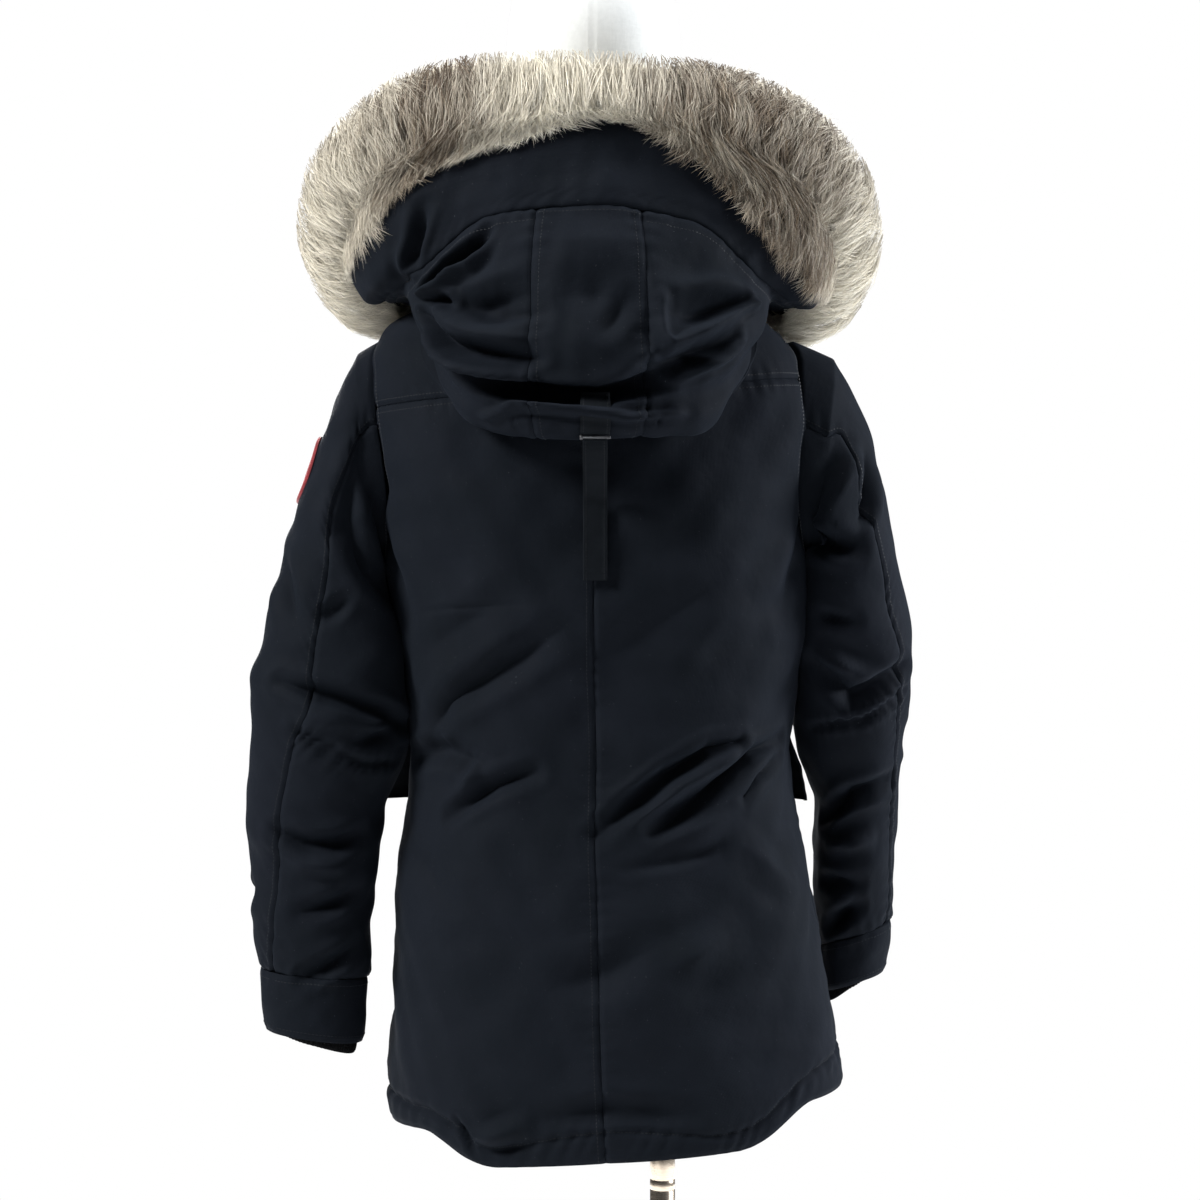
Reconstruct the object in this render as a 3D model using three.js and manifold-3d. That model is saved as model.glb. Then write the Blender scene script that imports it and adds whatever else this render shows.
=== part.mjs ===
// A hooded parka with a fur ruff, filled out on a limbless dress form that stands on a steel pole and plate.
// Millimetres, +Z up. The parka's front faces -Y and the wearer's left is +X.
// Every piece of cloth is a wall with an outer and an inner face, cut from one shared surface, so that
// neighbours meet at their seams with a small gap.

import * as THREE from "three";
import { mergeVertices } from "three/addons/utils/BufferGeometryUtils.js";
import Module from "manifold-3d";

// Driving dimensions
const BASE_CENTRE = { x: 15.4, y: 12.3 }; // where the middle of the finished part lies in the pattern's frame
const PADDED_WALL = 5; // down-filled shell, sleeves and hood
const CUFF_WALL = 4;
const KNIT_WALL = 2.5;
const THIN_WALL = 2.5; // flaps, placket and straps
const GAP = 0.3; // between neighbouring pieces
const SEAM_TRIM = 0.22; // off each edge where two curved pieces meet
const HEM_LEVEL = 686;
const YOKE_LEVEL = 1305;
const NECK_LEVEL = 1402;
const COLLAR_TOP = 1465;
const TORSO_STEP = 10; // degrees between the points of a torso ring
const RING_POINTS = 16; // points around a sleeve
const ARMHOLE = { y: 2, z: 1250, halfHeight: 97, halfDepth: 62, power: 2.2 };
const SLEEVE_DEEP = 3.4; // how far the sleeve's seam ring reaches into the armhole
const SLEEVE_PROUD = 3; // and how far it stands off the body
const SLEEVE_CLEARANCE = 2; // between a hanging sleeve and the body beside it
const REST_CLEARANCE = 4; // between the hood or ruff and the shoulders below
const UNDER_CLEARANCE = 7; // between the hood's hidden underside and the back
const NECK_CLEARANCE = 1.4; // between the hood's sewn edge and the collar
const PLACKET_HALF_WIDTH = 31;
const POLE = { x: -55, y: 0, radius: 11 };
const BASE = { radius: 175, thick: 6, edge: 2, hubRadius: 17, hubHeight: 26 };
const FORM_BOTTOM = 742;
const NECK_TOP = 1506;
const HEAD = { x: 6, y: -4, z: 1612, halfWidth: 75, halfDepth: 92, halfHeight: 112 };

// A table of rows with named columns.
const table = (columns, rows) =>
  rows.map((row) => Object.fromEntries(columns.split(" ").map((name, i) => [name, row[i]])));

// Rings of the body. Level is the height at the sides; the lifts raise or lower the centre back and front,
// sideTilt lowers the left side while it raises the right one, and seam is how far the centre-back seam lies
// from the ring's centre.
const TORSO = table("level half back front power centre seam backLift frontLift sideTilt", [
  [686, 199, 148, 138, 2.3, -15, 10, -29, -14, -15],
  [716, 197, 150, 137, 2.3, -13, 10, -26, -12, -12],
  [780, 191, 146, 134, 2.3, -9, 9, -12, -6, -6],
  [860, 182, 138, 130, 2.3, -4, 6, 0, 0, 0],
  [940, 170, 128, 126, 2.3, 0, 4, 0, 0, 0],
  [990, 168, 124, 126, 2.3, 0, 3, 0, 0, 0],
  [1060, 174, 128, 132, 2.35, 1, 4, 0, 0, 0],
  [1130, 182, 133, 140, 2.4, 3, 2, 0, 0, 0],
  [1210, 190, 134, 142, 2.5, 7, 0, 0, 0, 0],
  [1280, 195, 130, 130, 2.6, 11, 0, 0, 0, 0],
  [1325, 190, 119, 112, 2.6, 12, 0, 0, 0, 0],
  [1350, 176, 107, 98, 2.5, 12, 0, 2, -2, 0],
  [1370, 152, 97, 86, 2.3, 11, 0, 6, -8, 0],
  [1388, 118, 87, 76, 2.2, 10, 0, 12, -15, 0],
  [1402, 90, 79, 69, 2.1, 9, 0, 18, -22, 0],
  [1418, 82, 76, 66, 2.05, 8, 0, 18, -24, 0],
  [1465, 80, 76, 65, 2, 7, 0, 15, -26, 0],
]);

// Soft troughs (negative depth) and ridges of the body, each on a line from one angle and level to another.
// Angle 0 is the centre back and 90 the left side.
const TORSO_FOLDS = table("angle level toAngle toLevel width depth", [
  [-66, 1022, -8, 944, 15, -5.5],
  [-60, 990, -14, 912, 13, -4.5],
  [-70, 1000, -22, 950, 11, 3.5],
  [58, 1000, 22, 962, 13, -4.5],
  [62, 960, 30, 925, 12, -4],
  [68, 1060, 24, 1010, 16, -3.5],
  [-30, 852, -8, 815, 16, -3.5],
  [84, 748, 36, 722, 10, -4],
  [118, 1090, 150, 1020, 14, -4],
  [-118, 1096, -146, 1030, 13, -3.5],
  [128, 905, 168, 868, 15, -3],
  [-132, 892, -166, 850, 15, -3],
]);
const HEM_CHANNEL = { level: 716, width: 7, depth: -3.2 }; // the stitched line above the hem's drawcord
const HEM_LIFT = { below: 860, from: 0.33, to: 0.8 }; // from a ring's corner to its flat back or front
const YOKE_TILT = { middle: -8, side: -13, low: 1170, high: 1391, fadeTo: 150 }; // slope of the yoke's seam
const MM_PER_DEGREE = 3.15; // around the body, for the width of a fold

// Rings of a sleeve from just outside the armhole to the cuff's end. Out is the outer end of a ring, in the
// end beside the body, mid and half its middle and half size front to back, and seam the angle of the back
// seam: 0 is the outside and 90 the back.
const LEFT_SLEEVE = table("t outX outZ inX inZ mid half seam", [
  [2, 212, 1336, 192, 1149, 4, 62, 80],
  [3, 231, 1292, 184, 1140, 14, 63, 74],
  [4, 250, 1241, 180, 1122, 20, 61, 70],
  [5, 269, 1180, 172, 1096, 25, 58, 68],
  [6, 286, 1112, 164, 1058, 28, 56, 70],
  [7, 302, 1050, 161, 1018, 31, 55, 72],
  [8, 302, 1000, 170, 980, 28, 53, 62],
  [9, 308, 944, 188, 936, 26, 50, 52],
  [10, 302, 868, 196, 862, 24, 45, 46],
  [11, 297, 801, 201, 793, 24, 40, 32],
  [12, 293, 749, 204, 737, 25, 39, 30],
]);
const RIGHT_SLEEVE = table("t outX outZ inX inZ mid half seam", [
  [2, 205, 1332, 182, 1149, 1, 63, 80],
  [3, 226, 1294, 172, 1140, -2, 64, 66],
  [4, 242, 1244, 172, 1122, 0, 64, 56],
  [5, 256, 1184, 168, 1096, 0, 63, 52],
  [6, 267, 1122, 166, 1066, -4, 62, 50],
  [7, 277, 1078, 168, 1034, -14, 61, 48],
  [8, 274, 1024, 176, 990, -34, 60, 38],
  [9, 270, 960, 194, 930, -58, 56, 34],
  [10, 268, 890, 194, 866, -78, 51, 36],
  [11, 268, 828, 196, 806, -94, 46, 34],
  [12, 264, 782, 197, 762, -104, 45, 34],
]);
const CUFF_START = 11; // the sleeve ring that the cuff's seam follows
const CUFF_END = 12;

// Creases of a sleeve: from one angle around it and height to another.
const LEFT_SLEEVE_FOLDS = table("angle level toAngle toLevel width depth", [
  [40, 1052, 165, 1024, 11, -6],
  [70, 1012, 160, 972, 9, -3.5],
  [66, 1032, 150, 1002, 10, 4],
  [30, 912, 150, 898, 10, -5.5],
  [60, 858, 150, 832, 10, -4.5],
  [90, 1180, 150, 1090, 13, -4.5],
  [-60, 1060, -160, 1020, 11, -5],
  [-40, 905, -140, 885, 10, -4.5],
]);
const RIGHT_SLEEVE_FOLDS = table("angle level toAngle toLevel width depth", [
  [40, 1232, 110, 1170, 11, -5],
  [50, 1196, 120, 1128, 11, 4.5],
  [45, 1094, 150, 1058, 11, -5.5],
  [10, 1048, 140, 1012, 9, -3.5],
  [30, 942, 140, 898, 10, -5],
  [40, 880, 140, 858, 10, -4],
  [-40, 1070, -150, 1020, 11, -5],
  [-50, 920, -140, 890, 10, -4],
]);
const SLEEVE_MM_PER_DEGREE = 0.98;

// Sections of the hood as it lies down the back, from the centre back (s 0) to the front end (s 1). The core
// is the line that the ruff follows, out and tall its half sizes, and attach the angle on the ruff where the
// cloth begins. The other pairs are distance from the neck's axis (R) and height (Z), along the cloth.
const RUFF = table("s coreX coreY coreZ out tall attach", [
  [0, 0, 110, 1536, 42, 39, -20],
  [0.13, 58, 106, 1535, 44, 41, -24],
  [0.245, 108, 94, 1531, 47, 45, -34],
  [0.365, 156, 72, 1517, 48, 48, -50],
  [0.486, 192, 40, 1490, 48, 47, -72],
  [0.6, 205, 4, 1454, 47, 46, -98],
  [0.7, 201, -32, 1422, 46, 44, -122],
  [0.8, 180, -64, 1406, 44, 42, -142],
  [0.9, 144, -94, 1388, 42, 40, -155],
  [1, 104, -116, 1370, 39, 37, -162],
]);
const HOOD_UPPER = table("s brimR brimZ hangR hangZ seamR seamZ crownR crownZ lowerR lowerZ", [
  [0, 164, 1480, 171, 1458, 175, 1441, 191, 1385, 200, 1318],
  [0.13, 171, 1476, 175, 1452, 177, 1433, 192, 1376, 200, 1314],
  [0.245, 194, 1460, 193, 1424, 188, 1394, 190, 1370, 188, 1344],
  [0.365, 211, 1434, 205, 1388, 184, 1379, 175, 1379, 167, 1377],
  [0.486, 212, 1414, 199, 1381, 181, 1378, 170, 1379, 162, 1380],
  [0.6, 198, 1396, 188, 1384, 176, 1381, 166, 1381, 158, 1381],
  [0.7, 172, 1384, 167, 1381, 160, 1380, 153, 1380, 147, 1381],
  [0.8, 148, 1374, 144, 1374, 139, 1375, 134, 1376, 130, 1378],
  [0.9, 124, 1364, 120, 1366, 116, 1368, 113, 1370, 110, 1372],
  [1, 109, 1354, 107, 1357, 105, 1360, 103, 1363, 101, 1366],
]);
const HOOD_LOWER = table("s creaseR creaseZ rollR rollZ lowR lowZ underR underZ neckR neckZ", [
  [0, 188, 1287, 190, 1266, 172, 1250, 150, 1275, 84, 1424],
  [0.13, 187, 1290, 187, 1269, 170, 1257, 150, 1284, 84, 1422],
  [0.245, 174, 1329, 172, 1313, 160, 1304, 147, 1326, 87, 1418],
  [0.365, 160, 1374, 155, 1371, 147, 1371, 137, 1378, 90, 1412],
  [0.486, 154, 1380, 148, 1381, 141, 1382, 131, 1387, 92, 1406],
  [0.6, 151, 1382, 145, 1383, 138, 1385, 128, 1388, 91, 1399],
  [0.7, 141, 1382, 136, 1383, 130, 1384, 121, 1386, 89, 1394],
  [0.8, 125, 1379, 121, 1380, 116, 1382, 109, 1384, 84, 1390],
  [0.9, 107, 1374, 104, 1376, 101, 1378, 97, 1381, 80, 1386],
  [1, 99, 1369, 97, 1372, 95, 1375, 91, 1377, 77, 1381],
]);
const HOOD = RUFF.map((row, i) => ({ ...row, ...HOOD_UPPER[i], ...HOOD_LOWER[i] }));
const HOOD_PAIRS = ["brim", "hang", "seam", "crown", "lower", "crease", "roll", "low", "under", "neck"];
const HOOD_SEAM_W = 3; // the pair that the seam between brim and crown follows; 0 is the ruff
const HOOD_UNDER_W = 8;
const HOOD_END_W = 10;
const HOOD_CENTRE_X = 9; // the hood and ruff hang a little towards the wearer's left
const HOOD_RIGHT_DROP = 9; // how much lower the right half of the ruff hangs
const HOOD_END_S = 0.985;
const HOOD_PANEL_S = 0.062; // half width of the hood's centre panel, as a share of the ruff's half
const HOOD_FOLDS = table("s w toS toW width depth", [
  [0.24, 3.5, 0.12, 4.3, 0.4, -6],
  [0.22, 4.5, 0.1, 5.1, 0.35, -5.5],
  [-0.09, 5.1, -0.21, 4.1, 0.4, -6.5],
  [-0.1, 4.1, -0.2, 3.4, 0.35, -4.5],
]);
const HOOD_W_PER_S = 14; // one s counts as this many w in the distance from a fold

const BRIM_CLEARANCE = PADDED_WALL + 2; // from the ruff to the brim's outer face
const RUFF_POINTS = 12;
const RUFF_END_ROUNDING = [0.45, 0.8]; // share of the ruff's size in its last rings

// Lower pockets on the fronts, from one angle and level to another, and how far the flap stands off them.
const POCKET = { fromAngle: 110, toAngle: 150, low: 820, high: 985, thick: 7 };
const FLAP = { fromAngle: 100, toAngle: 150, low: 940, high: 1005, stand: 9, flareLeft: 24, flareRight: 8 };

// The strap that gathers the hood: a tab over the hood's lower roll, a bar, and the tail that hangs from it.
const STRAP = { x: 4, fromS: -0.0227, toS: 0.0089, fromW: 6, toW: 7.5, thick: 1.8 };
const TAIL = { half: 10, end: 1136, off: 0.8, fallen: 0.45 }; // fallen: the share of it that leaves the back
const BAR = { length: 25, radius: 1.3 };

const PATCH = { t: 3.4, toT: 4.5, fromAngle: -24, toAngle: 22, thick: 1.4 };

// How far inside the cloth's plain inner face the form lies. It carries the parka at the shoulders.
const FORM_INSET = table("level inset", [
  [730, 20],
  [860, 14],
  [990, 11],
  [1130, 12],
  [1210, 10],
  [1280, 5],
  [1325, 3.2],
  [1350, 1.8],
  [1374, 0.9],
  [1390, 9],
  [1402, 22],
  [1430, 25],
  [1465, 25],
]);

const wasm = await Module();
wasm.setup();

const radians = THREE.MathUtils.degToRad;
const point = (x, y, z) => new THREE.Vector3(x, y, z);
const signedPower = (value, power) => Math.sign(value) * Math.abs(value) ** power;
const smoothStep = (t) => t * t * (3 - 2 * t);
const range = (from, to, count) =>
  Array.from({ length: count + 1 }, (_, i) => from + ((to - from) * i) / count);

// Reads every column of a table at a key, on curves that don't overshoot the rows. A table whose first row
// lies on the middle line is level there, apart from the column that changes sign across it.
function smoothTable(rows, key, crossing = null) {
  const keys = rows.map((row) => row[key]);
  const columns = Object.keys(rows[0]).filter((name) => name !== key);
  const slopes = {};
  for (const name of columns) {
    const step = (i) => (rows[i + 1][name] - rows[i][name]) / (keys[i + 1] - keys[i]);
    slopes[name] = rows.map((_, i) => {
      if (i === 0) return crossing && name !== crossing ? 0 : step(0);
      if (i === rows.length - 1) return step(i - 1);
      const before = step(i - 1);
      const after = step(i);
      return before * after <= 0 ? 0 : (2 * before * after) / (before + after);
    });
  }
  return (at) => {
    let i = 0;
    while (i < keys.length - 2 && at > keys[i + 1]) i++;
    const span = keys[i + 1] - keys[i];
    const t = Math.min(1, Math.max(0, (at - keys[i]) / span));
    const read = {};
    for (const name of columns) {
      const a = rows[i][name];
      const b = rows[i + 1][name];
      const sa = slopes[name][i] * span;
      const sb = slopes[name][i + 1] * span;
      read[name] = a + t * (sa + t * (3 * (b - a) - 2 * sa - sb + t * (sa + sb - 2 * (b - a))));
    }
    return read;
  };
}

// A table of folds as lines in one unit, from angles and levels, or from s and w.
function linesOf(folds, perUnit) {
  return folds.map((fold) => {
    const [x0, y0, x1, y1] = Object.values(fold);
    return { x0: x0 * perUnit, y0, x1: x1 * perUnit, y1, width: fold.width, depth: fold.depth };
  });
}

// The height that a table of folds adds at a place, where both coordinates are in the same unit.
function foldHeight(lines, along, up) {
  let height = 0;
  for (const line of lines) {
    const dx = line.x1 - line.x0;
    const dy = line.y1 - line.y0;
    const share = ((along - line.x0) * dx + (up - line.y0) * dy) / (dx * dx + dy * dy);
    const t = Math.min(1, Math.max(0, share));
    const away = Math.hypot(along - line.x0 - t * dx, up - line.y0 - t * dy);
    height += line.depth * Math.exp(-((away / line.width) ** 2)) * (0.45 + 0.55 * Math.sin(Math.PI * t));
  }
  return height;
}

// Body

const torsoRow = smoothTable(TORSO, "level");
const torsoLines = linesOf(TORSO_FOLDS, MM_PER_DEGREE);

// How much of a ring's lift a place gets, from how squarely it faces back or front.
function liftShare(facing, level) {
  if (level >= HEM_LIFT.below) return facing;
  return smoothStep(Math.min(1, Math.max(0, (facing - HEM_LIFT.from) / (HEM_LIFT.to - HEM_LIFT.from))));
}

// The body's surface without folds.
function plainTorso(angle, level) {
  const row = torsoRow(level);
  const side = Math.sin(radians(angle));
  const back = Math.cos(radians(angle));
  return point(
    row.centre + row.half * signedPower(side, 2 / row.power),
    (back > 0 ? row.back : row.front) * signedPower(back, 2 / row.power),
    level + (back > 0 ? row.backLift : row.frontLift) * liftShare(back * back, level) + row.sideTilt * side,
  );
}

// The unit vector away from a surface's inside, from the surface's own slopes.
function normalOf(surface, u, v) {
  const alongU = surface.at(u + surface.du, v).sub(surface.at(u - surface.du, v));
  const alongV = surface.at(u, v + surface.dv).sub(surface.at(u, v - surface.dv));
  return alongV.cross(alongU).normalize().multiplyScalar(surface.turn ?? 1);
}

const plainBody = { at: plainTorso, du: 1.5, dv: 2 };

function foldedTorso(angle, level) {
  const wrapped = angle > 180 ? angle - 360 : angle;
  const channel = HEM_CHANNEL.depth * Math.exp(-(((level - HEM_CHANNEL.level) / HEM_CHANNEL.width) ** 2));
  const height = foldHeight(torsoLines, wrapped * MM_PER_DEGREE, level) + channel;
  return plainTorso(angle, level).addScaledVector(normalOf(plainBody, angle, level), height);
}

// The panels' columns, 10 degrees apart, which keep to the centre-back seam and to the placket's edges.
function columnAngle(column, level) {
  const row = torsoRow(level);
  const angleOf = (aside) => THREE.MathUtils.radToDeg(Math.asin((aside / row.half) ** (row.power / 2)));
  const beside = angleOf(PLACKET_HALF_WIDTH);
  const wrapped = column > 180 ? column - 360 : column;
  const turned = Math.abs(wrapped);
  const sign = Math.sign(wrapped);
  const last = 180 - TORSO_STEP;
  if (turned <= 90) return wrapped + angleOf(row.seam) * (1 - turned / 90);
  const angle =
    turned <= last
      ? 90 + ((turned - 90) * (90 - beside)) / (last - 90)
      : 180 - (beside * (180 - turned)) / TORSO_STEP;
  return sign * angle;
}

// The panels' levels, which slope along the yoke's seam and are level again at the waist and neck.
function slopedLevel(column, level) {
  const wrapped = column > 180 ? column - 360 : column;
  const ends = level < YOKE_LEVEL ? YOKE_TILT.low : YOKE_TILT.high;
  const near = Math.min(1, Math.max(0, (level - ends) / (YOKE_LEVEL - ends)));
  const turned = Math.min(1, Math.max(0, (YOKE_TILT.fadeTo - Math.abs(wrapped)) / (YOKE_TILT.fadeTo - 90)));
  const slope = YOKE_TILT.middle + YOKE_TILT.side * Math.sin(radians(wrapped));
  return level + slope * smoothStep(near) * smoothStep(turned);
}

function bodyAt(column, level) {
  const sloped = slopedLevel(column, level);
  return foldedTorso(columnAngle(column, sloped), sloped);
}

const body = { at: bodyAt, du: 1.5, dv: 2 };

// How far out a point lies, as a share of the body's own radius in that direction at that height.
function torsoShare(p) {
  let level = p.z;
  let share = 1;
  for (let i = 0; i < 8; i++) {
    const row = torsoRow(level);
    const across = Math.abs((p.x - row.centre) / row.half) ** row.power;
    const deep = Math.abs(p.y / (p.y > 0 ? row.back : row.front)) ** row.power;
    share = (across + deep) ** (1 / row.power);
    const side = Math.sign(p.x - row.centre) * Math.sqrt(across / (across + deep));
    const lift = (p.y > 0 ? row.backLift : row.frontLift) * liftShare(deep / (across + deep), level);
    level = (level + p.z - lift - row.sideTilt * side) / 2;
  }
  return share;
}

// Moves a point sideways until it is clear of the body.
function clearOfTorso(p, clearance) {
  const share = torsoShare(p);
  const centre = torsoRow(p.z).centre;
  const reach = Math.hypot(p.x - centre, p.y);
  const least = reach / share + clearance;
  if (reach >= least) return p;
  return point(centre + ((p.x - centre) * least) / reach, (p.y * least) / reach, p.z);
}

// Moves a point up or out, whichever is nearer, until it lies on the body's outside.
function restOnTorso(p, clearance) {
  const outward = clearOfTorso(p, clearance);
  if (outward === p) return p;
  let low = p.z;
  let high = p.z + 90;
  for (let i = 0; i < 16; i++) {
    const middle = (low + high) / 2;
    if (torsoShare(point(p.x, p.y, middle)) < 1) low = middle;
    else high = middle;
  }
  const upward = high + clearance * 1.3;
  return upward - p.z < outward.distanceTo(p) ? point(p.x, p.y, upward) : outward;
}

// Solids

function geometryOf(points, faces) {
  const made = new THREE.BufferGeometry();
  made.setAttribute("position", new THREE.Float32BufferAttribute(points.flatMap((p) => [p.x, p.y, p.z]), 3));
  let volume = 0;
  for (let i = 0; i < faces.length; i += 3) {
    const [a, b, c] = [points[faces[i]], points[faces[i + 1]], points[faces[i + 2]]];
    volume += a.dot(point(0, 0, 0).crossVectors(b, c));
  }
  if (volume < 0) faces.reverse();
  made.setIndex(faces);
  made.computeVertexNormals();
  return made;
}

// A closed wall between two grids of points. A closed wall runs all round, as a tube does.
function wallBetween(outer, inner, closed = false) {
  const rows = outer.length;
  const columns = outer[0].length;
  const id = (side, i, j) => (side * rows + (i % rows)) * columns + j;
  const faces = [];
  const quad = (a, b, c, d) => faces.push(a, b, c, a, c, d);
  const spans = closed ? rows : rows - 1;
  const last = columns - 1;
  for (let i = 0; i < spans; i++) {
    for (let j = 0; j < last; j++) {
      quad(id(0, i, j), id(0, i + 1, j), id(0, i + 1, j + 1), id(0, i, j + 1));
      quad(id(1, i, j), id(1, i, j + 1), id(1, i + 1, j + 1), id(1, i + 1, j));
    }
    quad(id(1, i, 0), id(1, i + 1, 0), id(0, i + 1, 0), id(0, i, 0));
    quad(id(1, i, last), id(0, i, last), id(0, i + 1, last), id(1, i + 1, last));
  }
  if (!closed)
    for (let j = 0; j < last; j++) {
      quad(id(0, 0, j), id(0, 0, j + 1), id(1, 0, j + 1), id(1, 0, j));
      quad(id(0, rows - 1, j), id(1, rows - 1, j), id(1, rows - 1, j + 1), id(0, rows - 1, j + 1));
    }
  return geometryOf([...outer.flat(), ...inner.flat()], faces);
}

// A solid through rings of points, with flat ends.
function solidThrough(rings) {
  const count = rings[0].length;
  const points = rings.flat();
  const faces = [];
  for (let i = 0; i < rings.length - 1; i++)
    for (let j = 0; j < count; j++) {
      const next = (j + 1) % count;
      const [a, b, c, d] = [i * count + j, i * count + next, (i + 1) * count + next, (i + 1) * count + j];
      faces.push(a, b, c, a, c, d);
    }
  for (const [ring, forward] of [[0, false], [rings.length - 1, true]]) {
    const middle = rings[ring].reduce((sum, p) => sum.add(p), point(0, 0, 0)).divideScalar(count);
    points.push(middle);
    for (let j = 0; j < count; j++) {
      const a = ring * count + j;
      const b = ring * count + ((j + 1) % count);
      faces.push(...(forward ? [a, b, points.length - 1] : [b, a, points.length - 1]));
    }
  }
  return geometryOf(points, faces);
}

// Moves the edge points of a grid along the cloth, so that two panels leave a gap at their seam.
function trimmed(grid, trim) {
  const moved = grid.map((row) => row.map((cell) => ({ ...cell, point: cell.point.clone() })));
  const last = grid.length - 1;
  const end = grid[0].length - 1;
  const shift = (cell, from, to, amount) =>
    cell.point.addScaledVector(to.point.clone().sub(from.point).normalize(), amount);
  for (let j = 0; j <= end; j++) {
    if (trim.u0) shift(moved[0][j], grid[0][j], grid[1][j], trim.u0);
    if (trim.u1) shift(moved[last][j], grid[last][j], grid[last - 1][j], trim.u1);
  }
  for (let i = 0; i <= last; i++) {
    if (trim.v0) shift(moved[i][0], grid[i][0], grid[i][1], trim.v0);
    if (trim.v1) shift(moved[i][end], grid[i][end], grid[i][end - 1], trim.v1);
  }
  return moved;
}

// A panel of a surface between two offsets from it, each a number or a function of the place.
function panel(surface, us, vs, outside, inside, trim = {}, closed = false) {
  const cellAt = (u, v) => ({ u, v, point: surface.at(u, v), normal: normalOf(surface, u, v) });
  const grid = us.map((u) => vs.map((v) => cellAt(u, v)));
  const cells = trimmed(grid, trim);
  const offset = (amount) =>
    cells.map((row) =>
      row.map((c) =>
        c.point.clone().addScaledVector(c.normal, typeof amount === "function" ? amount(c.u, c.v) : amount),
      ),
    );
  return wallBetween(offset(outside), offset(inside), closed);
}

function toSolid(geometry) {
  const bare = new THREE.BufferGeometry().setAttribute("position", geometry.getAttribute("position"));
  bare.setIndex(geometry.index);
  const merged = mergeVertices(bare, 1e-4);
  return new wasm.Manifold(
    new wasm.Mesh({
      numProp: 3,
      vertProperties: merged.attributes.position.array,
      triVerts: new Uint32Array(merged.index.array),
    }),
  );
}

function fromSolid(solid) {
  const mesh = solid.getMesh();
  const made = new THREE.BufferGeometry();
  const positions = new Float32Array(mesh.numVert * 3);
  for (let i = 0; i < mesh.numVert; i++)
    positions.set(mesh.vertProperties.subarray(i * mesh.numProp, i * mesh.numProp + 3), i * 3);
  made.setAttribute("position", new THREE.BufferAttribute(positions, 3));
  made.setIndex(new THREE.BufferAttribute(mesh.triVerts, 1));
  made.computeVertexNormals();
  return made;
}

// Sleeves

const sleeveFrom = (side, rings, folds) => ({
  side,
  row: smoothTable(rings, "t"),
  firstSeam: rings[0].seam,
  lines: linesOf(folds, SLEEVE_MM_PER_DEGREE),
});
const sleeves = {
  left: sleeveFrom(1, LEFT_SLEEVE, LEFT_SLEEVE_FOLDS),
  right: sleeveFrom(-1, RIGHT_SLEEVE, RIGHT_SLEEVE_FOLDS),
};

// The armhole's outline on the body, grown by a margin. Proud is the distance off the body's side.
function armholePoint(sleeve, angle, proud, margin = 0) {
  const across = signedPower(Math.sin(radians(angle)), 2 / ARMHOLE.power);
  const upward = signedPower(Math.cos(radians(angle)), 2 / ARMHOLE.power);
  const y = ARMHOLE.y + (ARMHOLE.halfDepth + margin) * across;
  const z = ARMHOLE.z + (ARMHOLE.halfHeight + margin) * upward;
  const row = torsoRow(z);
  const depth = y > 0 ? row.back : row.front;
  const reach = row.half * (1 - Math.abs(y / depth) ** row.power) ** (1 / row.power);
  return point(row.centre + sleeve.side * (reach + proud), y, z);
}

// A point of the hanging sleeve without its folds. The angle is 0 outside, 90 at the back.
function hangingPoint(sleeve, angle, t) {
  const row = sleeve.row(t);
  const across = signedPower(Math.cos(radians(angle)), 2 / ARMHOLE.power);
  const back = signedPower(Math.sin(radians(angle)), 2 / ARMHOLE.power);
  const x = (row.outX + row.inX) / 2 + ((row.outX - row.inX) / 2) * across;
  const z = (row.outZ + row.inZ) / 2 + ((row.outZ - row.inZ) / 2) * across;
  return clearOfTorso(point(sleeve.side * x, row.mid + row.half * back, z), SLEEVE_CLEARANCE);
}

function sleevePlain(sleeve, angle, t) {
  if (t <= 1) return armholePoint(sleeve, angle, -SLEEVE_DEEP + (SLEEVE_DEEP + SLEEVE_PROUD) * t);
  if (t >= 2) return hangingPoint(sleeve, angle, t);
  return armholePoint(sleeve, angle, SLEEVE_PROUD).lerp(hangingPoint(sleeve, angle, 2), smoothStep(t - 1));
}

// Share 0 is the back seam, and it grows over the outside towards the front.
function sleeveSurface(sleeve) {
  const angleAt = (share, t) => (t < 2 ? sleeve.firstSeam : sleeve.row(t).seam) - share * 360;
  const plainAt = (share, t) => sleevePlain(sleeve, angleAt(share, t), t);
  const plain = { at: plainAt, du: 0.01, dv: 0.02, turn: -sleeve.side };
  const folded = (share, t) => {
    const p = plain.at(share, t);
    const wrapped = ((((angleAt(share, t) + 180) % 360) + 360) % 360) - 180;
    const height = t > 2 ? foldHeight(sleeve.lines, wrapped * SLEEVE_MM_PER_DEGREE, p.z) : 0;
    const shaped = p.addScaledVector(normalOf(plain, share, t), height);
    return t > 2 ? clearOfTorso(shaped, SLEEVE_CLEARANCE) : shaped;
  };
  return { at: folded, du: 0.01, dv: 0.02, turn: -sleeve.side };
}

const SLEEVE_STATIONS = [0, 1, 1.5, 2, 2.7, 3.5, 4.3, 5, 5.6, 6.2, 6.7, 7.2, 7.7, 8.3, 9, 9.6, 10.3, 11];

function sleevePanel(sleeve, fromShare, toShare) {
  const shares = range(fromShare, toShare, RING_POINTS / 2);
  const trim = { u0: SEAM_TRIM, u1: SEAM_TRIM, v1: GAP / 2 };
  return panel(sleeveSurface(sleeve), shares, SLEEVE_STATIONS, 0, -PADDED_WALL, trim);
}

function cuff(sleeve) {
  const shares = range(0, 1, RING_POINTS).slice(0, -1);
  const stations = range(CUFF_START, CUFF_END, 2);
  return panel(sleeveSurface(sleeve), shares, stations, 0.6, 0.6 - CUFF_WALL, { v0: GAP }, true);
}

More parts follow.
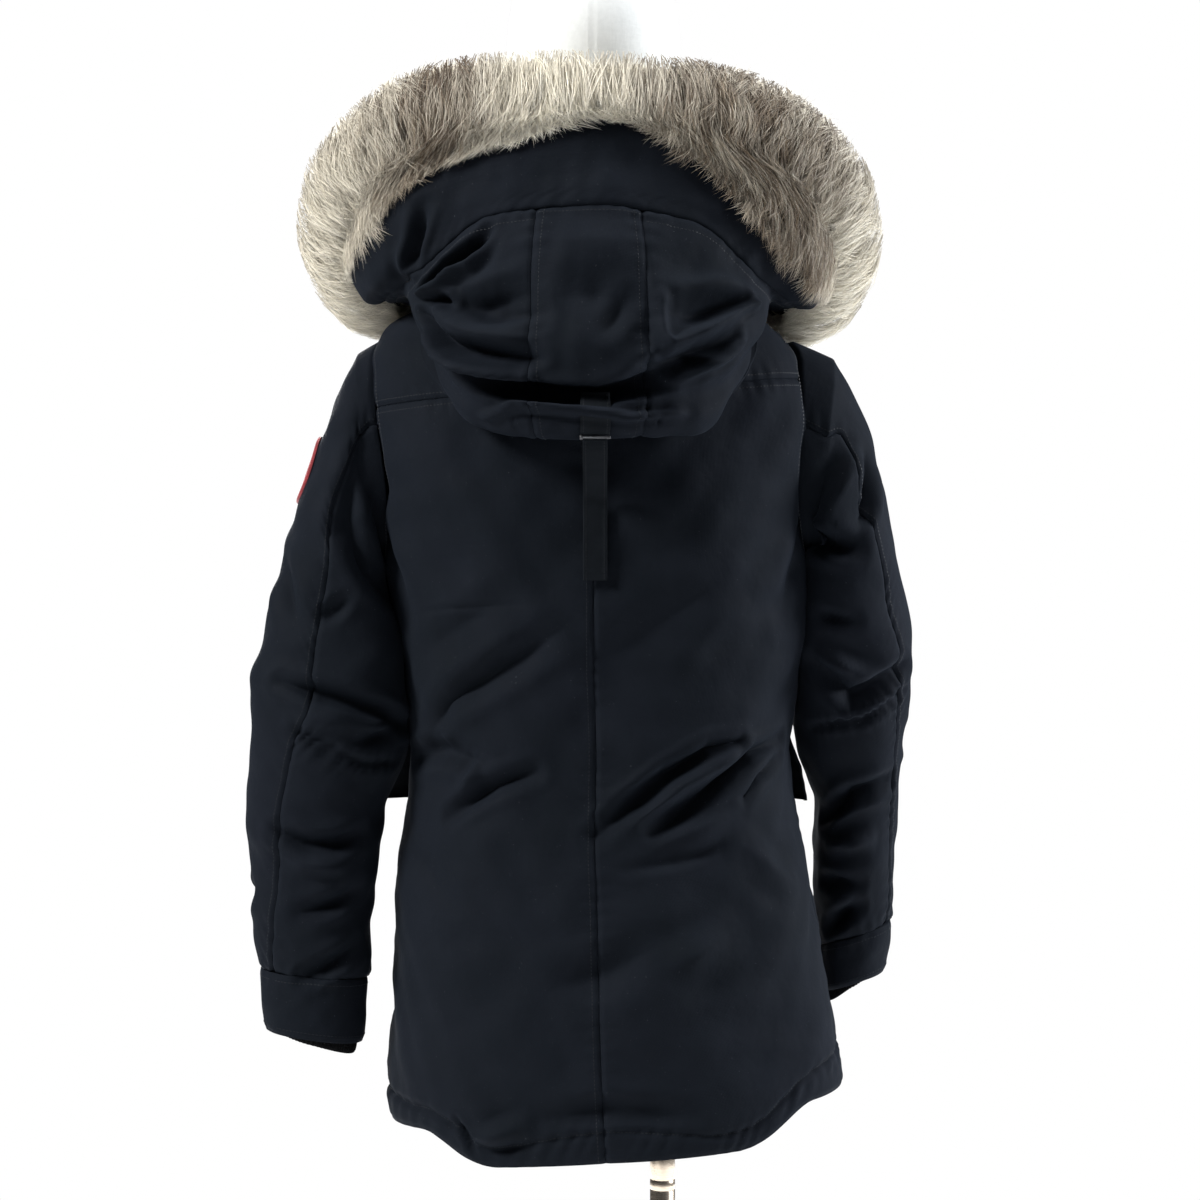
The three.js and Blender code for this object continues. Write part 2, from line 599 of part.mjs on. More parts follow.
// The ribbed inner cuff lies inside the cuff and shows a little below it at the inner side.
function knitCuff(sleeve) {
  const shares = range(0, 1, RING_POINTS).slice(0, -1);
  const outside = CUFF_WALL - 0.6 + GAP;
  const surface = sleeveSurface(sleeve);
  const ring = (t, inset, drop) =>
    shares.map((share) => {
      const p = surface.at(share, t).addScaledVector(normalOf(surface, share, t), -inset);
      const angle = radians(sleeve.row(t).seam - share * 360);
      return p.setZ(p.z - drop * (0.55 - 0.45 * Math.cos(angle)));
    });
  const stations = [
    { t: 11.35, inset: 0, drop: 0 },
    { t: 11.7, inset: 1.5, drop: 0 },
    { t: 11.98, inset: 4, drop: 2 },
    { t: 11.98, inset: 6, drop: 12 },
  ];
  const rings = (extra) => stations.map((s) => ring(s.t, outside + s.inset + extra, s.drop));
  const turned = (list) => shares.map((_, j) => list.map((r) => r[j]));
  return wallBetween(turned(rings(0)), turned(rings(KNIT_WALL)), true);
}

// Body panels

const BODY_LEVELS = [
  HEM_LEVEL, 702, 716, 732, 775, 820, 865, 905, 940, 972, 1005, 1040, 1080, 1125, 1170, 1215, 1262,
];
const YOKE_LEVELS = [YOKE_LEVEL, 1330, 1350, 1366, 1380, 1391, NECK_LEVEL];
const SHOULDER_DEPTH = 16;
const COLLAR_LEVELS = [NECK_LEVEL, 1413, 1435, COLLAR_TOP];
const SHOULDER_LEVELS = [BODY_LEVELS.at(-1), ...YOKE_LEVELS, ...COLLAR_LEVELS.slice(1)];

const armholeCutters = Object.values(sleeves).map((sleeve) => {
  const angles = range(0, 1, RING_POINTS).slice(0, -1).map((share) => sleeve.firstSeam - share * 360);
  const ring = (x) => angles.map((angle) => armholePoint(sleeve, angle, 0, GAP).setX(x * sleeve.side));
  return toSolid(solidThrough([ring(110), ring(290)]));
});

// A panel of the body with the armholes cut out of it.
function bodyPanel(fromAngle, toAngle, levels, trim) {
  const angles = range(fromAngle, toAngle, Math.abs(toAngle - fromAngle) / TORSO_STEP);
  let solid = toSolid(panel(body, angles, levels, 0, -PADDED_WALL, trim));
  for (const cutter of armholeCutters) solid = solid.subtract(cutter);
  return fromSolid(solid);
}

const half = GAP / 2;
const sideAndTop = { u0: half, u1: half, v1: half };
const backPanel = (from, to) => bodyPanel(from, to, [...BODY_LEVELS, YOKE_LEVEL], sideAndTop);
const backYoke = () => bodyPanel(-90, 90, YOKE_LEVELS, { ...sideAndTop, v0: half });
const frontPanel = (from, to) => bodyPanel(from, to, [...BODY_LEVELS, ...YOKE_LEVELS], sideAndTop);

function collar() {
  const columns = range(-180, 180, 360 / TORSO_STEP);
  return panel(body, columns, COLLAR_LEVELS, 0, -THIN_WALL - 1, { u0: half, u1: half, v0: half });
}

// Covers the closed front from hem to collar. It laps over both fronts, from their own points.
function placket() {
  const levels = [...BODY_LEVELS, ...YOKE_LEVELS, ...COLLAR_LEVELS.slice(1)];
  return panel(body, range(180 - TORSO_STEP, 180 + TORSO_STEP, 2), levels, GAP + THIN_WALL, GAP);
}

// Columns of the fronts count on from the left one, round the centre front at 180.
function columnsBetween({ fromAngle, toAngle }, side) {
  const columns = range(fromAngle, toAngle, (toAngle - fromAngle) / TORSO_STEP);
  return side > 0 ? columns : columns.map((column) => 360 - column).reverse();
}

function pocket(side) {
  const levels = BODY_LEVELS.filter((level) => level >= POCKET.low && level <= POCKET.high);
  return panel(body, columnsBetween(POCKET, side), levels, GAP + POCKET.thick, GAP);
}

// The flap hangs from its stitched top edge and flares away from the body at its rear lower corner.
function pocketFlap(side) {
  const levels = BODY_LEVELS.filter((level) => level >= FLAP.low && level <= FLAP.high);
  const flare = side > 0 ? FLAP.flareLeft : FLAP.flareRight;
  const stand = (column, level) => {
    const down = (FLAP.high - level) / (FLAP.high - FLAP.low);
    const turned = column > 180 ? 360 - column : column;
    const rear = 1 - (turned - FLAP.fromAngle) / (FLAP.toAngle - FLAP.fromAngle);
    return GAP + FLAP.stand * Math.min(1, down * 2) + flare * down ** 1.4 * rear ** 3;
  };
  return panel(body, columnsBetween(FLAP, side), levels, (a, l) => stand(a, l) + THIN_WALL, stand);
}

// Hood and ruff

const hoodRow = smoothTable(HOOD, "s", "coreX");
const coreRow = (s) => {
  const row = hoodRow(Math.abs(s));
  const drop = s < 0 ? HOOD_RIGHT_DROP * Math.sin(Math.PI * Math.min(1, Math.abs(s))) : 0;
  return { ...row, core: point(HOOD_CENTRE_X + Math.sign(s) * row.coreX, row.coreY, row.coreZ - drop), drop };
};

// The ruff's section at a place: its core, its two half sizes and the directions away from the neck and up.
function ruffSection(s) {
  const row = coreRow(s);
  const step = 0.02;
  const ahead = coreRow(Math.min(1, s + step)).core;
  const along = ahead.sub(coreRow(Math.max(-1, s - step)).core).normalize();
  const aside = point(0, 0, 1).cross(along).normalize();
  if (aside.x * (row.core.x - HOOD_CENTRE_X) + aside.y * row.core.y < 0) aside.negate();
  const upward = point(0, 0, 0).crossVectors(along, aside).normalize();
  if (upward.z < 0) upward.negate();
  return { ...row, aside, upward };
}

// A point of the ruff's outside. Angle 0 points away from the neck and 90 up.
function ruffPoint(s, angle, grown = 0, share = 1) {
  const section = ruffSection(s);
  return section.core
    .clone()
    .addScaledVector(section.aside, (section.out * share + grown) * Math.cos(radians(angle)))
    .addScaledVector(section.upward, (section.tall * share + grown) * Math.sin(radians(angle)));
}

// Moves a point of the brim away from the ruff's core until the brim's inner face clears the fur.
function clearOfRuff(s, p) {
  const section = ruffSection(s);
  const across = p.clone().sub(section.core).dot(section.aside);
  const up = p.clone().sub(section.core).dot(section.upward);
  const share = Math.hypot(across / (section.out + BRIM_CLEARANCE), up / (section.tall + BRIM_CLEARANCE));
  if (share >= 1) return p;
  return p
    .addScaledVector(section.aside, across / share - across)
    .addScaledVector(section.upward, up / share - up);
}

const ruffRest = (p) => restOnTorso(p, REST_CLEARANCE + PADDED_WALL + 3);

function ruff() {
  const angles = range(0, 360, RUFF_POINTS).slice(0, -1);
  const ringAt = (s, share) => angles.map((angle) => ruffRest(ruffPoint(s, angle, 0, share)));
  const [small, larger] = RUFF_END_ROUNDING;
  const rings = [ringAt(-1, small), ringAt(-0.985, larger)];
  for (const s of range(-0.94, 0.94, 26)) rings.push(ringAt(s, 1));
  rings.push(ringAt(0.985, larger), ringAt(1, small));
  return solidThrough(rings);
}

const hoodLines = linesOf(HOOD_FOLDS, HOOD_W_PER_S);

// The hood's outer face: w 0 is the ruff's edge, and each whole w one of the named pairs.
function plainHood(s, w) {
  const row = coreRow(s);
  const heading = Math.atan2(row.core.x - HOOD_CENTRE_X, row.core.y);
  const place = (k) => {
    if (k <= 0) return ruffPoint(s, row.attach, BRIM_CLEARANCE);
    const name = HOOD_PAIRS[Math.min(HOOD_END_W, k) - 1];
    const reach = row[name + "R"];
    const z = row[name + "Z"] - row.drop * (1 - k / HOOD_END_W);
    return point(HOOD_CENTRE_X + Math.sin(heading) * reach, Math.cos(heading) * reach, z);
  };
  const k = Math.min(HOOD_END_W - 1, Math.floor(w));
  const [before, from, to, after] = [place(k - 1), place(k), place(k + 1), place(k + 2)];
  const t = w - k;
  const eased = (axis) => {
    const sa = k === 0 ? to[axis] - from[axis] : (to[axis] - before[axis]) / 2;
    const sb = k === HOOD_END_W - 1 ? to[axis] - from[axis] : (after[axis] - from[axis]) / 2;
    const rise = to[axis] - from[axis];
    return from[axis] + t * (sa + t * (3 * rise - 2 * sa - sb + t * (sa + sb - 2 * rise)));
  };
  return clearOfRuff(s, point(eased("x"), eased("y"), eased("z")));
}

// The hood with its folds, lifted off the shoulders by its outer face and its inner one.
const smoothHood = { at: plainHood, du: 0.012, dv: 0.1, turn: -1 };
function foldedHood(s, w) {
  const normal = normalOf(smoothHood, s, w);
  const shaped = plainHood(s, w).addScaledVector(normal, foldHeight(hoodLines, s * HOOD_W_PER_S, w));
  const clearance = w >= HOOD_END_W ? NECK_CLEARANCE : w > HOOD_UNDER_W ? UNDER_CLEARANCE : REST_CLEARANCE;
  const inside = shaped.clone().addScaledVector(normal, -PADDED_WALL);
  const lift = restOnTorso(inside, clearance).clone().sub(inside);
  return restOnTorso(shaped.add(lift), clearance);
}

const hood = { at: foldedHood, du: 0.012, dv: 0.1, turn: -1 };

const CROWN_STATIONS = [3, 3.6, 4.2, 4.8, 5.4, 6, 6.5, 7, 7.5, 8, 8.5, 9, 9.35, 9.7, 10];
const BRIM_STATIONS = [0, 0.5, 1, 1.6, 2.3, HOOD_SEAM_W];
const CENTRE_S = [-HOOD_PANEL_S, -0.042, STRAP.fromS, STRAP.toS, 0.035, HOOD_PANEL_S];
const LEFT_S = [HOOD_PANEL_S, 0.11, 0.16, 0.215, 0.275, 0.345, 0.42, 0.5, 0.59, 0.69, 0.79, 0.89, HOOD_END_S];
const RIGHT_S = LEFT_S.map((s) => -s).reverse();

// The shoulders and collar, grown by a gap, which the hood's underside is pressed against.
const allColumns = range(0, 360, 360 / TORSO_STEP).slice(0, -1);
const shoulderForm = toSolid(panel(body, allColumns, SHOULDER_LEVELS, 2 * GAP, -SHOULDER_DEPTH, {}, true));

const pressed = (geometry) => fromSolid(toSolid(geometry).subtract(shoulderForm));
const hoodPanel = (places, stations, trim) => pressed(panel(hood, places, stations, 0, -PADDED_WALL, trim));
const brimPlaces = [...RIGHT_S, ...CENTRE_S.slice(1, -1), ...LEFT_S];
const hoodBrim = () => hoodPanel(brimPlaces, BRIM_STATIONS, { v1: SEAM_TRIM });
const hoodCentre = () => hoodPanel(CENTRE_S, CROWN_STATIONS, { u0: SEAM_TRIM, u1: SEAM_TRIM, v0: SEAM_TRIM });
const hoodSide = (side) =>
  side > 0
    ? hoodPanel(LEFT_S, CROWN_STATIONS, { u0: SEAM_TRIM, v0: SEAM_TRIM })
    : hoodPanel(RIGHT_S, CROWN_STATIONS, { u1: SEAM_TRIM, v0: SEAM_TRIM });

// Hood strap

function strapTab() {
  const stations = CROWN_STATIONS.filter((w) => w >= STRAP.fromW && w <= STRAP.toW);
  return panel(hood, [STRAP.fromS, STRAP.toS], stations, GAP + STRAP.thick, GAP);
}

function strapEnd() {
  const middle = (STRAP.fromS + STRAP.toS) / 2;
  return hood.at(middle, STRAP.toW).addScaledVector(normalOf(hood, middle, STRAP.toW), GAP + STRAP.thick / 2);
}

function strapBar() {
  const bar = new THREE.CylinderGeometry(BAR.radius, BAR.radius, BAR.length, 8);
  bar.rotateZ(Math.PI / 2);
  return bar;
}

// The tail leaves the bar and falls onto the back, where it lies flat.
function strapTail(start) {
  const stations = [0, 0.12, 0.26, 0.42, 0.6, 0.8, 1];
  const columns = [-1, 0, 1];
  const tailPoint = (aside, t, offset) => {
    const z = start.z + (TAIL.end - start.z) * t;
    const x = STRAP.x + aside * TAIL.half;
    const row = torsoRow(z);
    const lying = row.back * (1 - Math.abs((x - row.centre) / row.half) ** row.power) ** (1 / row.power);
    const standing = 1 - smoothStep(Math.min(1, t / TAIL.fallen));
    return point(x, lying + TAIL.off + (start.y - lying - TAIL.off) * standing + offset, z);
  };
  const face = (offset) => columns.map((aside) => stations.map((t) => tailPoint(aside, t, offset)));
  return wallBetween(face(STRAP.thick), face(0));
}

function sleevePatch() {
  const sleeve = sleeves.left;
  const surface = sleeveSurface(sleeve);
  const shareOf = (angle, t) => (sleeve.row(t).seam - angle) / 360;
  const onSleeve = { at: (angle, t) => surface.at(shareOf(angle, t), t), du: 2, dv: 0.02, turn: 1 };
  const angles = range(PATCH.fromAngle, PATCH.toAngle, 4);
  return panel(onSleeve, angles, range(PATCH.t, PATCH.toT, 4), GAP + PATCH.thick, GAP);
}

// Dress form and stand

const FORM_LEVELS = [
  750, 820, 900, 990, 1080, 1170, 1240, 1290, 1330, 1350, 1366, 1380, 1391, NECK_LEVEL, 1430, COLLAR_TOP,
];
const FORM_SIDES = 18;
const FOOT_SHARE = 0.93; // of the form's underside, inside its rounded edge
const FOOT_EDGE = 10;
const NECK_SHARE = 0.96; // of the neck's top, beside its foot

function formTorso() {
  const insetAt = smoothTable(FORM_INSET, "level");
  const columns = range(0, 360, FORM_SIDES).slice(0, -1);
  const ringAt = (level) =>
    columns.map((column) => {
      const angle = columnAngle(column, level);
      const inward = -PADDED_WALL - insetAt(level).inset;
      return plainTorso(angle, level).addScaledVector(normalOf(plainBody, angle, level), inward);
    });
  const foot = ringAt(FORM_LEVELS[0]);
  const rings = [
    foot.map((p) => point(p.x * FOOT_SHARE, p.y * FOOT_SHARE, FORM_BOTTOM)),
    foot.map((p) => point(p.x, p.y, FORM_BOTTOM + FOOT_EDGE)),
  ];
  for (const level of FORM_LEVELS.slice(1)) rings.push(ringAt(level));
  const neck = rings.at(-1);
  rings.push(neck.map((p) => point(HEAD.x + (p.x - HEAD.x) * NECK_SHARE, p.y * NECK_SHARE, NECK_TOP)));
  return solidThrough(rings);
}

// An egg with a flat foot where it sits on the neck.
function formHead() {
  const footShare = (NECK_TOP + GAP - HEAD.z) / HEAD.halfHeight;
  const angles = range(0, 360, FORM_SIDES).slice(0, -1);
  const shares = [...range(footShare, 0.8, 7), 0.91, 0.975];
  const rings = shares.map((share) =>
    angles.map((angle) => {
      const width = Math.sqrt(1 - share * share) * (1 - 0.06 * share);
      return point(
        HEAD.x + HEAD.halfWidth * width * Math.sin(radians(angle)),
        HEAD.y + HEAD.halfDepth * width * Math.cos(radians(angle)) * (0.96 + 0.04 * share),
        HEAD.z + HEAD.halfHeight * share,
      );
    }),
  );
  return solidThrough(rings);
}

function turnedSolid(profile, sides) {
  const line = profile.map(([r, z]) => new THREE.Vector2(r, z));
  return new THREE.LatheGeometry(line, sides).rotateX(Math.PI / 2);
}

const basePlate = () =>
  turnedSolid(
    [
      [0, 0],
      [BASE.radius, 0],
      [BASE.radius, BASE.thick - BASE.edge],
      [BASE.radius - BASE.edge, BASE.thick],
      [0, BASE.thick],
    ],
    32,
  );

const hubSolid = () =>
  turnedSolid(
    [
      [POLE.radius + GAP, 0],
      [BASE.hubRadius, 0],
      [BASE.hubRadius, BASE.hubHeight - 2],
      [BASE.hubRadius - 2, BASE.hubHeight],
      [POLE.radius + GAP, BASE.hubHeight],
      [POLE.radius + GAP, 0],
    ],
    16,
  );

function poleSolid() {
  const length = FORM_BOTTOM - BASE.thick - 2 * GAP;
  return turnedSolid([[0, 0], [POLE.radius, 0], [POLE.radius, length], [0, length]], 16);
}

// Materials

const finish = (color, roughness, metalness = 0) =>
  new THREE.MeshStandardMaterial({ color, roughness, metalness });
const materials = {
  shell: finish(0x171b21, 0.78),
  knit: finish(0x0d0e11, 0.95),
  strap: finish(0x14171c, 0.7),
  fur: finish(0xb8ab93, 0.9),
  bar: finish(0x4a4c50, 0.45, 0.6),
  patch: finish(0x6e1a20, 0.85),
  linen: finish(0xe3e2dd, 0.9),
  steel: finish(0xb9afa2, 0.3, 1),
};

// Assembly

const parka = new THREE.Group();
parka.position.set(-BASE_CENTRE.x, -BASE_CENTRE.y, 0);

function add(name, geometry, material, position) {
  const mesh = new THREE.Mesh(geometry, material);
  mesh.name = name;
  if (position) mesh.position.copy(position);
  parka.add(mesh);
  return mesh;
}

add("back_left", backPanel(0, 90), materials.shell);
add("back_right", backPanel(-90, 0), materials.shell);
add("back_yoke", backYoke(), materials.shell);
add("front_left", frontPanel(90, 180), materials.shell);
add("front_right", frontPanel(180, 270), materials.shell);
add("collar", collar(), materials.shell);
add("placket", placket(), materials.shell);
for (const [name, sleeve] of Object.entries(sleeves)) {
  add("sleeve_outer_" + name, sleevePanel(sleeve, 0, 0.5), materials.shell);
  add("sleeve_under_" + name, sleevePanel(sleeve, 0.5, 1), materials.shell);
  add("cuff_" + name, cuff(sleeve), materials.shell);
  add("knit_cuff_" + name, knitCuff(sleeve), materials.knit);
  add("pocket_" + name, pocket(sleeve.side), materials.shell);
  add("pocket_flap_" + name, pocketFlap(sleeve.side), materials.shell);
  add("hood_side_" + name, hoodSide(sleeve.side), materials.shell);
}
add("hood_brim", hoodBrim(), materials.shell);
add("hood_centre", hoodCentre(), materials.shell);
add("fur_ruff", ruff(), materials.fur);

const barCentre = strapEnd().add(point(0, 0, -BAR.radius - STRAP.thick));
const tailStart = barCentre.clone().add(point(0, -STRAP.thick / 2, -BAR.radius - GAP));
add("strap_tab", strapTab(), materials.strap);
add("strap_bar", strapBar(), materials.bar, barCentre);
add("strap_tail", strapTail(tailStart), materials.strap);
add("sleeve_patch", sleevePatch(), materials.patch);

add("form_torso", formTorso(), materials.linen);
add("form_head", formHead(), materials.linen);
const onPlate = point(POLE.x, POLE.y, BASE.thick + GAP);
add("stand_base", basePlate(), materials.steel, point(POLE.x, POLE.y, 0));
add("stand_hub", hubSolid(), materials.steel, onPlate);
add("stand_pole", poleSolid(), materials.steel, onPlate);

export default parka;
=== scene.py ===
# A padded parka with a fur ruff on a limbless dress form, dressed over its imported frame.
# Tables and shapes are in millimetres in the pattern's own frame, as the part's source has them. Meshes are
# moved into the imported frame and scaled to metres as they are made.

import math

import bpy
import numpy as np
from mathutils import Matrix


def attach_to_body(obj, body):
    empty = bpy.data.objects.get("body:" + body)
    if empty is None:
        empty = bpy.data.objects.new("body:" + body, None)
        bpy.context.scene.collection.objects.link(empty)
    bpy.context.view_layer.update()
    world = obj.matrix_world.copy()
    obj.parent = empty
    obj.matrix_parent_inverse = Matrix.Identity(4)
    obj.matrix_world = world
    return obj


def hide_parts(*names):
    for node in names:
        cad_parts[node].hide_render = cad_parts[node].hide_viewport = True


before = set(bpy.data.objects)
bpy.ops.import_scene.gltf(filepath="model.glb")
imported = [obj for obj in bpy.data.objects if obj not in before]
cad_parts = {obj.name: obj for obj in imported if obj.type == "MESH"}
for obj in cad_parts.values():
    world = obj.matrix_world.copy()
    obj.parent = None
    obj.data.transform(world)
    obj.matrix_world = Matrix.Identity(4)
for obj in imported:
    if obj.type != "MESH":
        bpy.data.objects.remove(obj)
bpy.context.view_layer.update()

# Driving dimensions, in millimetres
BASE_CENTRE = np.array([15.4, 12.3, 0.0])
MM = 0.001
PADDED_WALL = 5
CUFF_WALL = 4
GAP = 0.3
HEM_LEVEL = 686
YOKE_LEVEL = 1305
NECK_LEVEL = 1402
COLLAR_TOP = 1465
ARMHOLE_Y, ARMHOLE_Z, ARMHOLE_HALF_DEPTH, ARMHOLE_HALF_HEIGHT, ARMHOLE_POWER = 2, 1250, 62, 97, 2.2
SLEEVE_DEEP = 3.4
SLEEVE_PROUD = 3
SLEEVE_CLEARANCE = 2
REST_CLEARANCE = 4
UNDER_CLEARANCE = 7
NECK_CLEARANCE = 1.4
PLACKET_HALF_WIDTH = 31
TORSO_STEP = 10
POLE_X, POLE_Y, POLE_RADIUS = -55, 0, 11
PLATE_RADIUS, PLATE_THICK, HUB_RADIUS, HUB_HEIGHT = 175, 6, 17, 26
FORM_BOTTOM = 742
NECK_TOP = 1506
HEAD_CENTRE = (6, -4, 1612)
HEAD_HALF = (75, 92, 112)

# The photograph's camera: its distance behind the middle of the parka, its height and its lens.
CAMERA_BACK = 2200
CAMERA_HEIGHT = 1120
LENS = 75
ROOM_LIGHT = 0.15
SENSOR = 36

# Rings of the body, as in the part's source.
TORSO = ("level half back front power centre seam backLift frontLift sideTilt", [
    (686, 199, 148, 138, 2.3, -15, 10, -29, -14, -15),
    (716, 197, 150, 137, 2.3, -13, 10, -26, -12, -12),
    (780, 191, 146, 134, 2.3, -9, 9, -12, -6, -6),
    (860, 182, 138, 130, 2.3, -4, 6, 0, 0, 0),
    (940, 170, 128, 126, 2.3, 0, 4, 0, 0, 0),
    (990, 168, 124, 126, 2.3, 0, 3, 0, 0, 0),
    (1060, 174, 128, 132, 2.35, 1, 4, 0, 0, 0),
    (1130, 182, 133, 140, 2.4, 3, 2, 0, 0, 0),
    (1210, 190, 134, 142, 2.5, 7, 0, 0, 0, 0),
    (1280, 195, 130, 130, 2.6, 11, 0, 0, 0, 0),
    (1325, 190, 119, 112, 2.6, 12, 0, 0, 0, 0),
    (1350, 176, 107, 98, 2.5, 12, 0, 2, -2, 0),
    (1370, 152, 97, 86, 2.3, 11, 0, 6, -8, 0),
    (1388, 118, 87, 76, 2.2, 10, 0, 12, -15, 0),
    (1402, 90, 79, 69, 2.1, 9, 0, 18, -22, 0),
    (1418, 82, 76, 66, 2.05, 8, 0, 18, -24, 0),
    (1465, 80, 76, 65, 2, 7, 0, 15, -26, 0),
])
HEM_LIFT_BELOW, HEM_LIFT_FROM, HEM_LIFT_TO = 860, 0.33, 0.8
YOKE_MIDDLE, YOKE_SIDE, YOKE_LOW, YOKE_HIGH, YOKE_FADE = -8, -13, 1170, 1391, 150

# Troughs and ridges, each with its width, its depth in or height out, and the places that it passes. On the
# body a place is a column and a level.
TORSO_FOLDS = [
    (8, -6, (1, 924), (-6, 950), (-16, 975), (-29, 996), (-41, 1001)),
    (8, 3, (-8, 934), (-21, 966), (-37, 989)),
    (8, -6, (-12, 929), (-20, 944), (-33, 969), (-48, 991), (-68, 1001)),
    (12, 3.5, (-13, 915), (-36, 942)),
    (7, -4, (-42, 955), (-50, 971), (-66, 987)),
    (15, -3.5, (12, 806), (1, 816), (-9, 833)),
    (15, 3.5, (-12, 818), (-31, 843)),
    (13, -5, (56, 1006), (45, 1033), (33, 1049), (19, 1070), (6, 1097)),
    (9, -6, (46, 938), (31, 961), (16, 977)),
    (9, 3, (39, 964), (33, 985)),
    (11, -5, (70, 985), (50, 993), (34, 985)),
    (3, -0.9, (55, 1109), (36, 1114), (16, 1116)),
    (15, -2, (50, 1082), (20, 1118)),
    (20, -3, (-27, 1130), (-2, 1074)),
    (6, -1.5, (-4, 896), (-17, 904), (-32, 916)),
    (16, -2.5, (62, 900), (44, 868)),
    (16, 2.5, (-58, 880), (-40, 912)),
    (18, -2.5, (-74, 1200), (-60, 1110)),
    (18, -2.5, (76, 1190), (64, 1120)),
    (4, -4, (39, 712), (36, 704), (34, 694)),
    (8, 4, (32, 706), (20, 716)),
    (9, -3.5, (15, 721), (0, 725), (-16, 718)),
    (14, -4, (118, 1090), (150, 1020)),
    (13, -3.5, (-118, 1096), (-146, 1030)),
    (15, -3, (128, 905), (168, 868)),
    (15, -3, (-132, 892), (-166, 850)),
    (13, -3.5, (112, 1010), (160, 972)),
    (13, 3, (-110, 1020), (-158, 975)),
    (16, -3, (120, 760), (165, 800)),
    (16, -3, (-124, 770), (-160, 812)),
]
MM_PER_DEGREE = 3.15
FOLD_STRENGTH = 2.3
FOLD_NARROW = 0.72
CHANNEL_WIDTH, CHANNEL_DEPTH = 2.8, -3.4
CHANNEL = ("column level", [
    (-180, 716), (-90, 722), (-65, 717), (-45, 707), (-23, 701), (-13, 705), (0, 710), (12, 706),
    (22, 701), (31, 700), (37, 706), (55, 703), (73, 707), (90, 711), (180, 716),
])

# Rings of the sleeves from outside the armhole to the cuff's end, as in the part's source.
SLEEVE_COLUMNS = "t outX outZ inX inZ mid half seam"
LEFT_SLEEVE = (SLEEVE_COLUMNS, [
    (2, 212, 1336, 192, 1149, 4, 62, 80),
    (3, 231, 1292, 184, 1140, 14, 63, 77),
    (4, 250, 1241, 180, 1122, 20, 61, 74),
    (5, 269, 1180, 172, 1096, 25, 58, 80),
    (6, 286, 1112, 164, 1058, 28, 56, 78),
    (7, 302, 1050, 161, 1018, 31, 55, 81),
    (8, 302, 1000, 170, 980, 28, 53, 70),
    (9, 308, 944, 188, 936, 26, 50, 68),
    (10, 302, 868, 196, 862, 24, 45, 60),
    (11, 297, 801, 201, 793, 24, 40, 46),
    (12, 293, 749, 204, 737, 25, 39, 42),
])
RIGHT_SLEEVE = (SLEEVE_COLUMNS, [
    (2, 205, 1332, 182, 1149, 1, 63, 80),
    (3, 226, 1294, 172, 1140, -2, 64, 62),
    (4, 242, 1244, 172, 1122, 0, 64, 66),
    (5, 256, 1184, 168, 1096, 0, 63, 52),
    (6, 267, 1122, 166, 1066, -4, 62, 50),
    (7, 277, 1078, 168, 1034, -14, 61, 48),
    (8, 274, 1024, 176, 990, -34, 60, 42),
    (9, 270, 960, 194, 930, -58, 56, 44),
    (10, 268, 890, 194, 866, -78, 51, 36),
    (11, 268, 828, 196, 806, -94, 46, 34),
    (12, 264, 782, 197, 762, -104, 45, 34),
])
SLEEVE_MM_PER_DEGREE = 0.98

# On a sleeve a place is an angle and a level.
LEFT_FOLDS = [
    (8, -7, (56, 1051), (79, 1043), (108, 1032), (165, 1012)),
    (10, 3, (72, 1023), (106, 1012)),
    (5, -2.4, (70, 1010), (94, 993), (122, 980), (158, 981)),
    (8, -4, (114, 999), (152, 1011)),
    (9, -6, (66, 922), (92, 911), (112, 911), (138, 919)),
    (9, 3, (78, 896), (122, 893)),
    (9, -5, (84, 853), (113, 861), (138, 873)),
    (9, -5, (86, 797), (110, 808), (140, 823)),
    (14, -6, (86, 1243), (90, 1186), (122, 1145), (152, 1128)),
    (7, -3, (80, 1104), (98, 1122)),
    (12, -4, (20, 1150), (60, 1100)),
    (11, -5, (-60, 1060), (-160, 1020)),
    (10, -4.5, (-40, 905), (-140, 885)),
    (12, 3.5, (-30, 1120), (-100, 1095)),
    (10, -4, (10, 868), (-40, 850)),
]
RIGHT_FOLDS = [
    (11, 6, (62, 1240), (91, 1207), (106, 1180)),
    (10, -8, (76, 1166), (100, 1167), (142, 1177)),
    (9, -5, (38, 1246), (56, 1204), (74, 1180)),
    (7, -4, (120, 1109), (88, 1102)),
    (9, -8, (132, 1067), (96, 1035), (71, 1046), (40, 1063)),
    (9, 4, (114, 1073), (86, 1057)),
    (5, -2.4, (136, 1009), (89, 1016), (36, 1043)),
    (9, -7, (148, 927), (106, 948), (52, 961)),
    (9, 3.5, (132, 903), (80, 908)),
    (8, -4, (142, 870), (90, 866)),
    (9, -5, (134, 826), (90, 845)),
    (11, -5, (-40, 1070), (-150, 1020)),
    (10, -4, (-50, 920), (-140, 890)),
    (12, 3.5, (-30, 1130), (-110, 1100)),
    (10, -4, (8, 1000), (-36, 980)),
]
GATHERS = {
    "left": ((74, 1007), (94, 993), (122, 980), (156, 981)),
    "right": ((134, 1009), (89, 1016), (38, 1042)),
}
CUFF_START, CUFF_END = 11, 12

